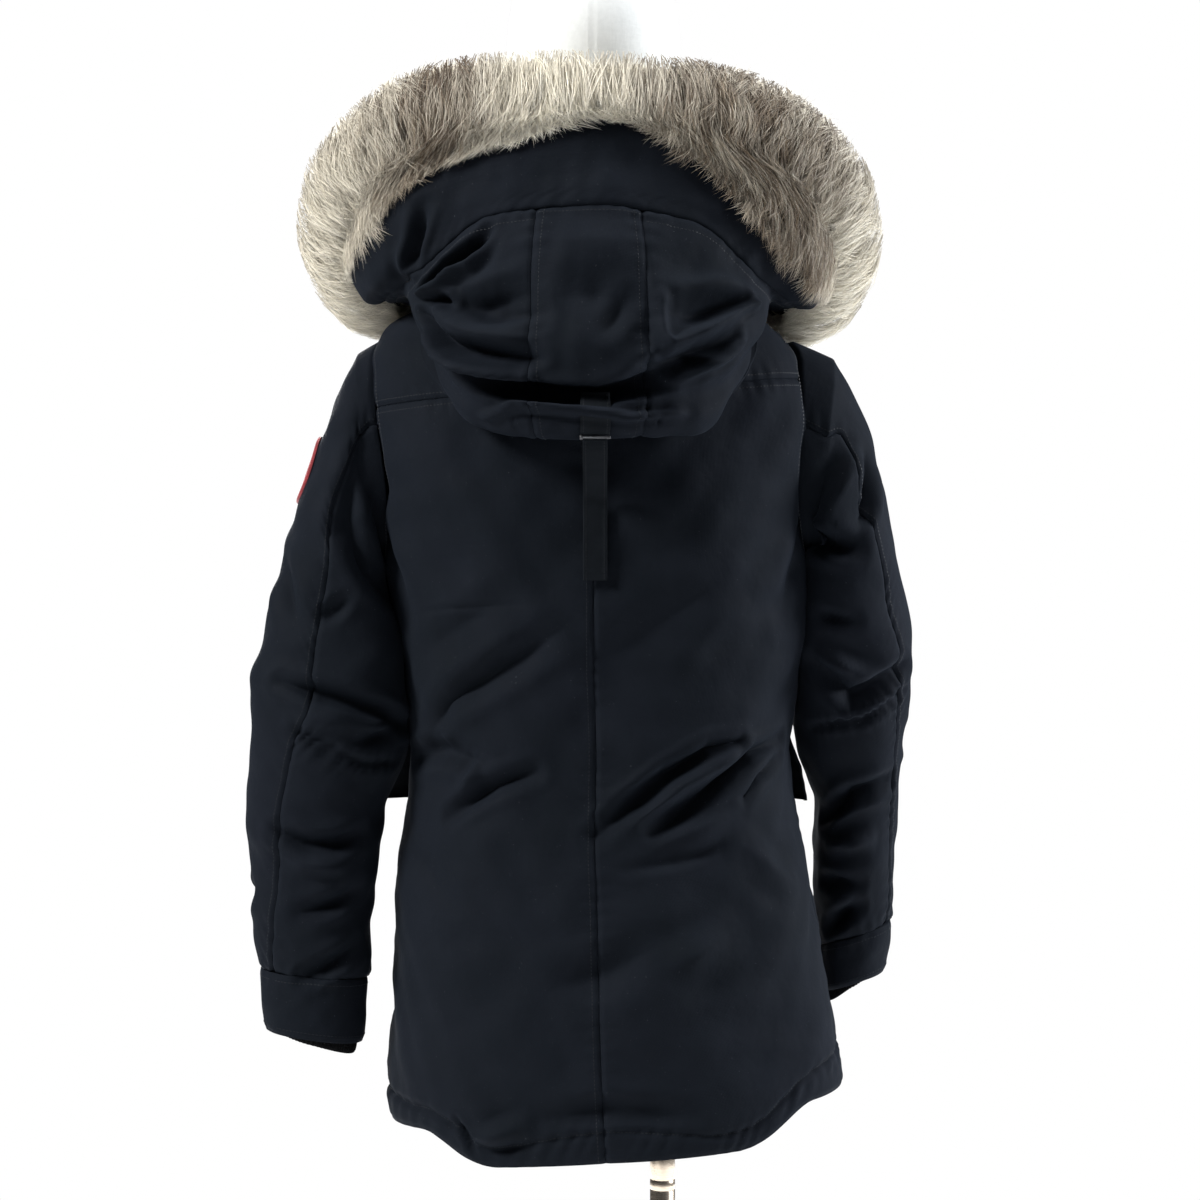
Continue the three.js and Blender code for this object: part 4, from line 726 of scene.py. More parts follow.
# A fine grid on one of the garment's surfaces, with its own shape, and edges pulled in where they are sewn
class Cloth:
    def __init__(self, surface, us, vs, height=0, shape=None, seams="", seam_depth=1.7, seam_width=2.3,
                 pucker=0.5, closed=False):
        self.surface, self.us, self.vs, self.closed = surface, us, vs, closed
        u, v = np.meshgrid(us, vs, indexing="ij")
        plain, self.normals = surface.at(u, v), surface.normal(u, v)
        self.across = self.travelled(plain, 0)
        self.along = self.travelled(plain, 1)
        lift = np.zeros(u.shape) + height
        if shape:
            lift = lift + shape(u, v, plain)
        for edge in seams.split():
            away = self.off(edge)
            beside = self.along if edge[0] == "u" else self.across
            waves = np.sin(beside / 2.3 + 1.3 * np.sin(beside / 17)) * np.sin(beside / 31 + 1)
            lift -= seam_depth * (np.exp(-((away / seam_width) ** 2)) + 0.4 * np.exp(-((away / 15) ** 2)))
            lift += pucker * waves * np.exp(-(((away - 5) / 9) ** 2))
        self.points = plain + self.normals * lift[..., None]

    @staticmethod
    def travelled(points, axis):
        steps = np.linalg.norm(np.diff(points, axis=axis), axis=-1)
        return np.concatenate([np.zeros_like(steps.take([0], axis)), np.cumsum(steps, axis)], axis)

    def off(self, edge):
        if edge == "u0":
            return self.across
        if edge == "u1":
            return self.across[-1:] - self.across
        return self.along if edge == "v0" else self.along[:, -1:] - self.along

    # The line at a distance from one edge: its points and its normals
    def line(self, edge, distance):
        away = self.off(edge)
        both = np.concatenate([self.points, self.normals], -1)
        if edge[0] == "u":
            away, both = away.T, both.transpose(1, 0, 2)
        found = []
        for d, row in zip(away, both):
            order = np.argsort(d)
            found.append([np.interp(distance, d[order], row[order, k]) for k in range(6)])
        found = np.array(found)
        return found[:, :3], unit(found[:, 3:])

    # The line through places of the surface's own two coordinates
    def line_through(self, us, vs):
        i = np.interp(us, self.us, np.arange(len(self.us)))
        j = np.interp(vs, self.vs, np.arange(len(self.vs)))
        i0, j0 = np.minimum(i.astype(int), len(self.us) - 2), np.minimum(j.astype(int), len(self.vs) - 2)
        a, b = (i - i0)[:, None], (j - j0)[:, None]
        both = np.concatenate([self.points, self.normals], -1)
        low = both[i0, j0] * (1 - b) + both[i0, j0 + 1] * b
        high = both[i0 + 1, j0] * (1 - b) + both[i0 + 1, j0 + 1] * b
        found = low * (1 - a) + high * a
        return found[:, :3], unit(found[:, 3:])

    # The object, with its edges turned inward by so much each, and faces left out where a test says so
    def build(self, name, material, rims="u0 u1 v0 v1", deep=4.0, facing_strip=0, leave_out=None):
        points, normals = self.points, self.normals
        uv = np.stack([self.across, self.along], -1)
        kept = np.ones((points.shape[0] - (0 if self.closed else 1), points.shape[1] - 1), bool)
        if leave_out is not None:
            out = leave_out(points)
            kept = ~(out[:-1, :-1] & out[1:, :-1] & out[:-1, 1:] & out[1:, 1:])
        for edge in rims.split():
            depths = [deep * 0.35, deep]
            if facing_strip and edge == "v0":
                depths += [deep + facing_strip * 0.5, deep + facing_strip]
            axis = 0 if edge[0] == "u" else 1
            first = edge[1] == "0"
            pick = lambda a: a.take([0 if first else a.shape[axis] - 1], axis)
            rim, outward, flat = pick(points), pick(normals), pick(uv)
            inner = points.take([6 if first else points.shape[axis] - 7], axis) - rim
            back = unit(inner - outward * (inner * outward).sum(-1, keepdims=True))
            for depth in depths:
                inward = min(depth, deep)
                ring = rim - outward * inward + back * (max(0, depth - deep) + 0.25 * inward * (axis == 1))
                joined = (lambda a, b: [b, a] if first else [a, b])
                points = np.concatenate(joined(points, ring), axis)
                normals = np.concatenate(joined(normals, outward), axis)
                uv = np.concatenate(joined(uv, flat), axis)
                kept = np.concatenate(joined(kept, np.ones_like(kept.take([0], axis))), axis)
        quads = grid_faces(points.shape[0], points.shape[1], self.closed)
        quads = facing(points, quads, normals)[kept]
        return mesh_object(name, points, quads, material, uv)


# Joins lines of short raised stitches into one object
def stitches(name, lines, material, pitch=3.3, half_length=1.15, half_width=0.36, height=0.42):
    corners, faces = [], []
    for points, normals in lines:
        along = np.concatenate([[0], np.cumsum(np.linalg.norm(np.diff(points, axis=0), axis=1))])
        at = np.arange(pitch, along[-1] - pitch / 2, pitch)
        if len(at) == 0:
            continue
        place = np.stack([np.interp(at, along, points[:, k]) for k in range(3)], -1)
        ahead = np.stack([np.interp(at + 0.8, along, points[:, k]) for k in range(3)], -1)
        normal = unit(np.stack([np.interp(at, along, normals[:, k]) for k in range(3)], -1))
        forward = unit(ahead - place)
        aside = unit(np.cross(normal, forward))
        base = place - normal * 0.2
        for f, a, up in ((-1, -1, 0), (-1, 1, 0), (1, 1, 0), (1, -1, 0), (-0.45, 0, 1), (0.45, 0, 1)):
            step = forward * half_length * f + aside * half_width * a + normal * (height + 0.2) * up
            corners.append(base + step)
        faces.append(len(at))
    blocks, quads, triangles, start = [], [], [], 0
    for n, count in enumerate(faces):
        block = np.stack(corners[n * 6:n * 6 + 6], 1).reshape(-1, 3)
        blocks.append(block)
        first = start + np.arange(count)[:, None] * 6
        quads += [first + np.array([0, 3, 5, 4]), first + np.array([2, 1, 4, 5])]
        triangles += [first + np.array([1, 0, 4]), first + np.array([3, 2, 5])]
        start += count * 6
    points = np.concatenate(blocks)
    made = mesh_object(name, points, np.concatenate(quads), material, triangles=np.concatenate(triangles))
    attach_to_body(made, "root")
    return made


# Materials

class Nodes:
    """A material's node tree, written as short calls."""

    def __init__(self, name):
        self.material = bpy.data.materials.new(name)
        self.material.use_nodes = True
        self.tree = self.material.node_tree
        self.shader = self.tree.nodes["Principled BSDF"]

    def set(self, **values):
        for name, value in values.items():
            self.shader.inputs[name.replace("_", " ")].default_value = value
        return self

    def link(self, source, target):
        self.tree.links.new(source, target)

    def node(self, kind, **settings):
        made = self.tree.nodes.new(kind)
        for name, value in settings.items():
            setattr(made, name, value)
        return made

    def place(self, kind):
        return self.node("ShaderNodeTexCoord").outputs[kind]

    def noise(self, scale, detail=3.0, roughness=0.5, place="Object", stretch=None):
        made = self.node("ShaderNodeTexNoise")
        made.inputs["Scale"].default_value = scale
        made.inputs["Detail"].default_value = detail
        made.inputs["Roughness"].default_value = roughness
        source = self.place(place)
        if stretch:
            mapping = self.node("ShaderNodeMapping")
            mapping.inputs["Scale"].default_value = stretch
            self.link(source, mapping.inputs["Vector"])
            source = mapping.outputs["Vector"]
        self.link(source, made.inputs["Vector"])
        return made.outputs["Fac"]

    def wave(self, scale, direction, place="UV", distortion=0.0):
        made = self.node("ShaderNodeTexWave", bands_direction=direction)
        made.inputs["Scale"].default_value = scale
        made.inputs["Distortion"].default_value = distortion
        made.inputs["Detail"].default_value = 1.0
        self.link(self.place(place), made.inputs["Vector"])
        return made.outputs["Fac"]

    def ramp(self, source, stops):
        made = self.node("ShaderNodeValToRGB")
        elements = made.color_ramp.elements
        elements[0].position, elements[0].color = stops[0]
        elements[1].position, elements[1].color = stops[-1]
        for position, colour in stops[1:-1]:
            elements.new(position).color = colour
        self.link(source, made.inputs["Fac"])
        return made.outputs["Color"]

    def sum(self, a, b, operation="ADD"):
        made = self.node("ShaderNodeMath", operation=operation)
        for i, value in enumerate((a, b)):
            if isinstance(value, (int, float)):
                made.inputs[i].default_value = value
            else:
                self.link(value, made.inputs[i])
        return made.outputs["Value"]

    def bump(self, height, distance, strength=1.0, before=None):
        made = self.node("ShaderNodeBump")
        made.inputs["Distance"].default_value = distance
        made.inputs["Strength"].default_value = strength
        self.link(height, made.inputs["Height"])
        if before:
            self.link(before, made.inputs["Normal"])
        return made.outputs["Normal"]

    def done(self, colour=None, roughness=None, normal=None):
        for source, socket in ((colour, "Base Color"), (roughness, "Roughness"), (normal, "Normal")):
            if source is not None:
                self.link(source, self.shader.inputs[socket])
        return self.material


def rgba(r, g, b):
    return (r, g, b, 1)


# Dense cotton and polyester weave over down: broad soft creases, a fine crinkle, the weave, and a few specks
def shell_material():
    n = Nodes("parka_shell").set(Sheen_Weight=0.012, Sheen_Roughness=0.5, Specular_IOR_Level=0.03)
    n.set(Sheen_Tint=rgba(0.55, 0.68, 0.95))
    tone = n.noise(9, 4, 0.6)
    cloth = n.ramp(tone, [(0.3, rgba(0.0037, 0.0050, 0.0072)), (0.7, rgba(0.0052, 0.0066, 0.0098))])
    specks = n.ramp(n.noise(800, 0, 0.5), [(0.85, rgba(0, 0, 0)), (0.89, rgba(0.03, 0.032, 0.036))])
    mix = n.node("ShaderNodeMixRGB", blend_type="ADD")
    mix.inputs["Fac"].default_value = 1
    n.link(cloth, mix.inputs["Color1"])
    n.link(specks, mix.inputs["Color2"])
    rough = n.ramp(n.noise(30, 3), [(0.2, rgba(0.7, 0.7, 0.7)), (0.8, rgba(0.86, 0.86, 0.86))])
    creases = n.bump(n.noise(24, 3, 0.55), 0.003, 0.6)
    crinkle = n.bump(n.noise(120, 3, 0.6), 0.0005, 0.5, creases)
    weave = n.sum(n.wave(260, "X", distortion=0.6), n.wave(260, "Y", distortion=0.6))
    return n.done(mix.outputs["Color"], rough, n.bump(weave, 0.00012, 0.35, crinkle))


def strap_material():
    n = Nodes("strap_cloth").set(Sheen_Weight=0.012, Sheen_Roughness=0.5, Specular_IOR_Level=0.03)
    tone = n.ramp(n.noise(60, 4), [(0.3, rgba(0.0033, 0.0044, 0.0060)), (0.7, rgba(0.0045, 0.0058, 0.0078))])
    weave = n.sum(n.wave(300, "X", distortion=0.4), n.wave(300, "Y", distortion=0.4))
    rough = n.ramp(n.noise(90, 2), [(0.2, rgba(0.62, 0.62, 0.62)), (0.8, rgba(0.78, 0.78, 0.78))])
    return n.done(tone, rough, n.bump(weave, 0.00015, 0.5, n.bump(n.noise(160, 3), 0.0004, 0.4)))


def knit_material():
    n = Nodes("knit").set(Sheen_Weight=0.012, Sheen_Roughness=0.6, Specular_IOR_Level=0.02)
    tone = n.ramp(n.noise(220, 3), [(0.3, rgba(0.0012, 0.0013, 0.0016)), (0.7, rgba(0.0028, 0.0031, 0.0038))])
    loops = n.wave(180, "Y", distortion=1.5)
    rough = n.ramp(n.noise(150, 2), [(0.2, rgba(0.85, 0.85, 0.85)), (0.8, rgba(0.98, 0.98, 0.98))])
    return n.done(tone, rough, n.bump(loops, 0.0005, 0.6, n.bump(n.noise(700, 2), 0.0003, 0.5)))


def thread_material():
    n = Nodes("thread").set(Sheen_Weight=0.05, Specular_IOR_Level=0.15)
    tone = n.ramp(n.noise(300, 2), [(0.3, rgba(0.005, 0.0065, 0.009)), (0.7, rgba(0.008, 0.0102, 0.014))])
    rough = n.ramp(n.noise(200, 2), [(0.2, rgba(0.5, 0.5, 0.5)), (0.8, rgba(0.66, 0.66, 0.66))])
    return n.done(tone, rough)


def patch_material():
    n = Nodes("patch_twill").set(Sheen_Weight=0.25, Sheen_Roughness=0.5, Specular_IOR_Level=0.3)
    tone = n.ramp(n.noise(110, 4), [(0.3, rgba(0.13, 0.008, 0.012)), (0.7, rgba(0.21, 0.016, 0.022))])
    rough = n.ramp(n.noise(80, 2), [(0.2, rgba(0.74, 0.74, 0.74)), (0.8, rgba(0.88, 0.88, 0.88))])
    return n.done(tone, rough, n.bump(n.wave(240, "DIAGONAL", distortion=0.3), 0.0003, 0.6))


def fur_material():
    n = Nodes("fur").set(Sheen_Weight=0.12, Sheen_Roughness=0.5, Specular_IOR_Level=0.25)
    colour = n.node("ShaderNodeAttribute", attribute_name="tone").outputs["Color"]
    rough = n.ramp(n.noise(200, 2), [(0.2, rgba(0.5, 0.5, 0.5)), (0.8, rgba(0.72, 0.72, 0.72))])
    n.set(Subsurface_Weight=0.0)
    n.done(colour, rough)
    through = n.node("ShaderNodeBsdfTranslucent")
    n.link(colour, through.inputs["Color"])
    mix = n.node("ShaderNodeMixShader")
    mix.inputs["Fac"].default_value = 0.35
    n.link(n.shader.outputs["BSDF"], mix.inputs[1])
    n.link(through.outputs["BSDF"], mix.inputs[2])
    n.link(mix.outputs["Shader"], n.tree.nodes["Material Output"].inputs["Surface"])
    return n.material


def undercoat_material():
    n = Nodes("undercoat").set(Sheen_Weight=0.3, Specular_IOR_Level=0.2)
    tone = n.ramp(n.noise(60, 4), [(0.3, rgba(0.12, 0.09, 0.062)), (0.7, rgba(0.34, 0.28, 0.21))])
    rough = n.ramp(n.noise(80, 2), [(0.2, rgba(0.85, 0.85, 0.85)), (0.8, rgba(0.97, 0.97, 0.97))])
    return n.done(tone, rough, n.bump(n.noise(320, 4, 0.7), 0.002, 0.8))


def linen_material():
    n = Nodes("linen").set(Sheen_Weight=0.05, Sheen_Roughness=0.5, Specular_IOR_Level=0.25)
    tone = n.ramp(n.noise(200, 4, 0.7), [(0.25, rgba(0.52, 0.535, 0.535)), (0.7, rgba(0.58, 0.595, 0.595))])
    slubs = n.sum(n.noise(330, 3, 0.6, stretch=(1, 1, 0.12)), n.noise(330, 3, 0.6, stretch=(0.12, 0.12, 1)))
    rough = n.ramp(n.noise(60, 2), [(0.2, rgba(0.8, 0.8, 0.8)), (0.8, rgba(0.95, 0.95, 0.95))])
    return n.done(tone, rough, n.bump(slubs, 0.0003, 0.5))


def steel_material():
    n = Nodes("brushed_steel").set(Metallic=1.0)
    tone = n.ramp(n.noise(40, 4, stretch=(1, 1, 30)), [(0.3, rgba(0.42, 0.36, 0.29)), (0.7, rgba(0.58, 0.5, 0.41))])
    grain = n.noise(90, 5, 0.6, stretch=(1, 1, 40))
    rough = n.ramp(grain, [(0.25, rgba(0.22, 0.22, 0.22)), (0.75, rgba(0.38, 0.38, 0.38))])
    return n.done(tone, rough, n.bump(grain, 0.0001, 0.3))


def bar_material():
    n = Nodes("bar_metal").set(Metallic=0.7)
    tone = n.ramp(n.noise(200, 3), [(0.3, rgba(0.04, 0.042, 0.046)), (0.7, rgba(0.075, 0.077, 0.082))])
    rough = n.ramp(n.noise(300, 3), [(0.2, rgba(0.35, 0.35, 0.35)), (0.8, rgba(0.55, 0.55, 0.55))])
    return n.done(tone, rough)


SHELL, STRAP, KNIT, THREAD = shell_material(), strap_material(), knit_material(), thread_material()
PATCH, FUR, UNDERCOAT, LINEN = patch_material(), fur_material(), undercoat_material(), linen_material()
STEEL, BAR = steel_material(), bar_material()


# Puts a finished piece on the frame in place of its nodes
def settle(piece, slot, *nodes):
    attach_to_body(piece, "root")
    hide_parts(*nodes)
    return piece


# Measures a piece of cloth's cut: the grid's own widths, laid flat. Nothing is done with the sizes.
def declare(cloth):
    across, along = cloth.travelled(cloth.points, 0)[-1], cloth.travelled(cloth.points, 1)[:, -1]


# Body panels

ARM_RING_MM = 75
BODY_WAVES = (2.6, 0.8)


# How far outside the armhole's ring a point of the body lies, along the cloth
def off_armhole(p):
    across = np.abs((p[..., 1] - ARMHOLE_Y) / ARMHOLE_HALF_DEPTH) ** ARMHOLE_POWER
    upward = np.abs((p[..., 2] - ARMHOLE_Z) / ARMHOLE_HALF_HEIGHT) ** ARMHOLE_POWER
    ring = ((across + upward) ** (1 / ARMHOLE_POWER) - 1) * ARM_RING_MM
    return np.where(np.abs(p[..., 0] - 11) > 100, ring, 200)


def inside_armhole(p):
    return off_armhole(p) < -2


def body_shape(u, v, p):
    height = BODY_WAVES[0] * ripple(p, 95, 11) + BODY_WAVES[1] * ripple(p, 38, 12)
    height *= share_of(v, HEM_LEVEL, HEM_LEVEL + 60) * 0.8 + 0.2
    arm = off_armhole(p)
    height -= 2.2 * np.exp(-((arm / 4) ** 2)) + 0.9 * np.exp(-((arm / 16) ** 2))
    leaning = p[..., 0] + 0.5 * (v - HEM_LEVEL)
    gathers = np.sin(leaning / 2.1 + 2 * np.sin(leaning / 19)) * np.sin(leaning / 27 + p[..., 1] / 23)
    gathers += 0.7 * np.sin(p[..., 1] / 2.4 + 1.7 * np.sin(p[..., 1] / 15))
    height += 0.85 * gathers * np.exp(-(((v - channel_row(half_turn(u), "level") + 5) / 11) ** 2))
    hem_edge = -2.2 * np.exp(-((v - HEM_LEVEL) / 3.2) ** 2)
    return height + hem_edge


def body_piece(name, columns, low, high, spacing, seams, rims="u0 u1 v0 v1"):
    start, end = columns
    us = spaced(lambda c: body.at(c, 1000), start, end, spacing, 1.3)
    vs = spaced(lambda level: body.at((start + end) / 2, level), low, high, spacing, 1.3)
    cloth = Cloth(body, us, vs, shape=body_shape, seams=seams)
    strip = 34 if low == HEM_LEVEL else 0
    piece = settle(cloth.build(name, SHELL, rims, 4, strip, inside_armhole), "shell", name)
    declare(cloth)
    return cloth


back_left = body_piece("back_left", (0, 90), HEM_LEVEL, YOKE_LEVEL, 2.6, "u0 u1 v1")
back_right = body_piece("back_right", (-90, 0), HEM_LEVEL, YOKE_LEVEL, 2.6, "u0 u1 v1")
back_yoke = body_piece("back_yoke", (-90, 90), YOKE_LEVEL, NECK_LEVEL, 3, "v0 v1")
front_left = body_piece("front_left", (90, 180), HEM_LEVEL, NECK_LEVEL, 4.6, "u0")
front_right = body_piece("front_right", (180, 270), HEM_LEVEL, NECK_LEVEL, 4.6, "u1")

collar_columns = spaced(lambda c: body.at(c, 1440), -180, 180, 4)
collar_cloth = Cloth(body, collar_columns, np.array([1402, 1405, 1408, 1413, 1424, 1436, 1448, 1457, 1463, 1465]),
                     seams="v0", seam_depth=1.2)
collar = settle(collar_cloth.build("collar", SHELL, "v1", 3.4), "shell", "collar")
declare(collar_cloth)
inner_collar = Cloth(body, collar_columns, np.linspace(NECK_LEVEL, COLLAR_TOP - 0.5, 8), height=-3.3)
inner_collar = inner_collar.build("collar_inside", SHELL, "")
inner_collar.data.flip_normals()
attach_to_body(inner_collar, "root")

placket_columns = spaced(lambda c: body.at(c, 1000), 180 - TORSO_STEP, 180 + TORSO_STEP, 3, 1.2, reach=10)
placket_levels = spaced(lambda level: body.at(180, level), HEM_LEVEL, COLLAR_TOP, 5, 2)
placket_cloth = Cloth(body, placket_columns, placket_levels, height=2.8,
                      shape=lambda u, v, p: 0.4 * ripple(p, 40, 31), seams="u0 u1", seam_depth=0.8, seam_width=4)
placket = settle(placket_cloth.build("placket", SHELL, deep=2.4), "shell", "placket")
declare(placket_cloth)


# Sleeves, cuffs and their knit

def sleeve_shape(sleeve):
    def shape(u, v, p):
        height = 1.3 * ripple(p, 70, 21) + 0.55 * ripple(p, 30, 22)
        height *= share_of(v, 1.5, 3)
        turned = ((sleeve.angle(u, v) + 180) % 360 - 180) * SLEEVE_MM_PER_DEGREE
        away, place = beside_line(GATHERS[sleeve.name], turned, p[..., 2], SLEEVE_MM_PER_DEGREE)
        height += 1.1 * np.sin(place * 62 + 2 * np.sin(place * 11)) * np.exp(-((away - 4) / 9) ** 2)
        return height - 1.6 * np.exp(-((v / 0.55) ** 2))
    return shape


def sleeve_piece(sleeve, kind, start, end):
    fine = 2.5 if kind == "outer" else 3.4
    us = spaced(lambda share: sleeve.surface.at(share, 6.0), start, end, fine, 1.3)
    vs = spaced(lambda t: sleeve.surface.at((start + end) / 2, t), 0, CUFF_START, fine, 1.4)
    cloth = Cloth(sleeve.surface, us, vs, shape=sleeve_shape(sleeve), seams="u0 u1 v1")
    name = f"sleeve_{kind}_{sleeve.name}"
    piece = settle(cloth.build(name, SHELL), "shell", name)
    declare(cloth)
    return cloth


def cuff_piece(sleeve):
    us = spaced(lambda share: sleeve.surface.at(share, 11.5), 0, 1, 3.2)[:-1]
    vs = spaced(lambda t: sleeve.surface.at(0.25, t), CUFF_START, CUFF_END, 3, 1.3)
    cloth = Cloth(sleeve.surface, us, vs, height=-0.9, seams="v0", seam_depth=0.9, closed=True,
                  shape=lambda u, v, p: 0.45 * ripple(p, 26, 24) - 1.8 * np.exp(-(((v - 12) / 0.06) ** 2)))
    piece = cloth.build("cuff_" + sleeve.name, SHELL, "v0 v1", 3.2)
    settle(piece, "shell", "cuff_" + sleeve.name)
    declare(cloth)
    return cloth


def knit_piece(sleeve):
    ribs, points_each = 72, 6
    shares = np.arange(ribs * points_each) / (ribs * points_each)
    outside = CUFF_WALL - 0.6 + GAP
    rows = []
    for t, inset, drop in ((11.35, 0.3, 0), (11.7, 1.8, 0), (11.9, 3.4, 1), (11.98, 4.2, 3), (11.98, 4.8, 7),
                           (11.98, 5.6, 10), (11.98, 6.6, 11.6), (11.98, 7.8, 11.4), (11.98, 8.4, 6), (11.8, 6, 0)):
        angle = sleeve.row(np.full(len(shares), t), "seam") - shares * 360
        p = sleeve.surface.at(shares, np.full(len(shares), t))
        normal = sleeve.surface.normal(shares, np.full(len(shares), t))
        rib = 0.55 * np.cos(2 * math.pi * ribs * shares)
        p = p - normal * (outside + inset - rib)[..., None]
        p[:, 2] -= drop * (0.55 - 0.45 * cos_of(angle))
        rows.append(p)
    points = np.stack(rows, 1)
    normals = np.repeat(normal[:, None], len(rows), 1)
    quads = facing(points, grid_faces(*points.shape[:2], True), normals)
    uv = np.stack(np.broadcast_arrays(shares[:, None] * 250, np.arange(len(rows)) * 4.0), -1)
    piece = mesh_object("knit_cuff_" + sleeve.name, points, quads, KNIT, uv)
    settle(piece, "knit", "knit_cuff_" + sleeve.name)


sleeve_cloths = {}
for sleeve in sleeves:
    sleeve_cloths["outer_" + sleeve.name] = sleeve_piece(sleeve, "outer", 0, 0.5)
    sleeve_cloths["under_" + sleeve.name] = sleeve_piece(sleeve, "under", 0.5, 1)
    sleeve_cloths["cuff_" + sleeve.name] = cuff_piece(sleeve)
    knit_piece(sleeve)


# Pockets and flaps

def side_columns(start, end, name, spacing=3.6):
    us = spaced(lambda c: body.at(c, 950), start, end, spacing, 1.4, reach=8)
    return us if name == "left" else (360 - us)[::-1]


def pocket_piece(name):
    levels = spaced(lambda level: body.at(130, level), 823, POCKET_HIGH - 13, 3.6, 1.4)
    cloth = Cloth(body, side_columns(POCKET_FROM, POCKET_TO, name), levels, height=POCKET_THICK - 0.6,
                  shape=lambda u, v, p: 0.5 * ripple(p, 45, 41), seams="u0 u1 v0", seam_depth=3, seam_width=5)
    piece = settle(cloth.build("pocket_" + name, SHELL, deep=5), "shell", "pocket_" + name)
    declare(cloth)
    return cloth


def flap_piece(name):
    columns = side_columns(FLAP_FROM, FLAP_TO, name)
    levels = spaced(lambda level: body.at(130, level), FLAP_LOW, FLAP_HIGH, 3.2, 1.4)

    def stand(u, v, p):
        down = (FLAP_HIGH - v) / (FLAP_HIGH - FLAP_LOW)
        turned = np.where(u > 180, 360 - u, u)
        rear = 1 - (turned - FLAP_FROM) / (FLAP_TO - FLAP_FROM)
        return GAP + FLAP_STAND * np.minimum(1, down * 2) + FLAP_FLARE[name] * down ** 1.4 * rear ** 3 + 2.4

    cloth = Cloth(body, columns, levels, shape=stand, seams="u0 u1 v0", seam_depth=0.7, seam_width=4, pucker=0.3)
    piece = settle(cloth.build("pocket_flap_" + name, SHELL, deep=2.2), "shell", "pocket_flap_" + name)
    declare(cloth)
    return cloth


pockets = {name: pocket_piece(name) for name in ("left", "right")}
flaps = {name: flap_piece(name) for name in ("left", "right")}


# Hood

def hood_shape(u, v, p):
    height = 1.2 * ripple(p, 60, 51) + 0.5 * ripple(p, 26, 52)
    folds = fold_height(HOOD_FOLDS, u * HOOD_W_PER_S, v, HOOD_W_PER_S)
    return folds + height * share_of(v, 0, 1.5) * (1 - 0.8 * share_of(v, 8, 9))


def hood_piece(name, places, stations, seams, rims="u0 u1 v0 v1"):
    cloth = Cloth(hood, places, stations, shape=hood_shape, seams=seams)
    piece = settle(cloth.build(name, SHELL, rims), "shell", name)
    declare(cloth)
    return cloth


def hood_line(w):
    return lambda s: hood.at(s, np.full(np.shape(s), float(w)))


crown_stations = spaced(lambda w: hood.at(np.full(np.shape(w), 0.12), w), HOOD_SEAM_W, HOOD_UNDER_W, 2.4, 1.3, "start")
crown_stations = np.concatenate([crown_stations, np.linspace(HOOD_UNDER_W, HOOD_END_W, 14)[1:]])
brim_stations = spaced(lambda w: hood.at(np.full(np.shape(w), 0.3), w), 0, HOOD_SEAM_W, 3, 1.3)
side_places = spaced(hood_line(5), HOOD_PANEL_S, HOOD_END_S, 2.6, 1.3)
brim_places = spaced(hood_line(2), -HOOD_END_S, HOOD_END_S, 3.4)
centre_places = spaced(hood_line(5), -HOOD_PANEL_S, HOOD_PANEL_S, 3, 1.3)
hood_brim = hood_piece("hood_brim", brim_places, brim_stations, "v1")
hood_centre = hood_piece("hood_centre", centre_places, crown_stations, "u0 u1 v0")
hood_left = hood_piece("hood_side_left", side_places, crown_stations, "u0 v0")
hood_right = hood_piece("hood_side_right", -side_places[::-1], crown_stations, "u1 v0")


# Strap, bar and patch

def strap_pieces():
    places = np.linspace(STRAP_FROM_S, STRAP_TO_S, 12)
    stations = np.linspace(STRAP_FROM_W, STRAP_TO_W, 30)
    tab = Cloth(hood, places, stations, height=GAP + STRAP_THICK + 0.3,
                shape=lambda u, v, p: 0.3 * hood_shape(u, v, p))
    piece = settle(tab.build("strap_tab", STRAP, deep=1.9), "strap", "strap_tab")
    declare(tab)
    middle = np.array((STRAP_FROM_S + STRAP_TO_S) / 2)
    end = hood.at(middle, STRAP_TO_W) + hood.normal(middle, STRAP_TO_W) * (GAP + STRAP_THICK / 2)
    bar_centre = end - np.array([0, 0, BAR_RADIUS + STRAP_THICK])
    return tab, bar_centre


def tail_piece(bar_centre):
    start = bar_centre + np.array([0, -STRAP_THICK / 2, -BAR_RADIUS - GAP])

    def at(aside, t):
        aside, t = np.broadcast_arrays(np.asarray(aside, float), np.asarray(t, float))
        z = start[2] + (TAIL_END - start[2]) * t
        x = STRAP_X + aside * TAIL_HALF
        half, back, power, centre = torso_row(z, "half", "back", "power", "centre")
        lying = back * (1 - np.abs((x - centre) / half) ** power) ** (1 / power) + TAIL_OFF
        standing = 1 - smooth_step(np.clip(t / TAIL_FALLEN, 0, 1))
        return vector(x, lying + (start[1] - lying) * standing, z)

    surface = Surface(at, 0.05, 0.01)
    fold = lambda u, v, p: 0.5 * np.exp(-(((v - 0.96) / 0.03) ** 2)) - 0.35 * np.exp(-(((v - 0.93) / 0.008) ** 2))
    tail = Cloth(surface, np.linspace(-1, 1, 15), np.linspace(0, 1, 90), height=STRAP_THICK, shape=fold,
                 seams="u0 u1", seam_depth=0.3, seam_width=2, pucker=0.1)
    if (tail.normals[..., 1]).mean() < 0:
        tail.points = tail.points - 2 * tail.normals * STRAP_THICK
        tail.normals = -tail.normals
    piece = settle(tail.build("strap_tail", STRAP, deep=1.6), "strap", "strap_tail")
    declare(tail)
    return tail


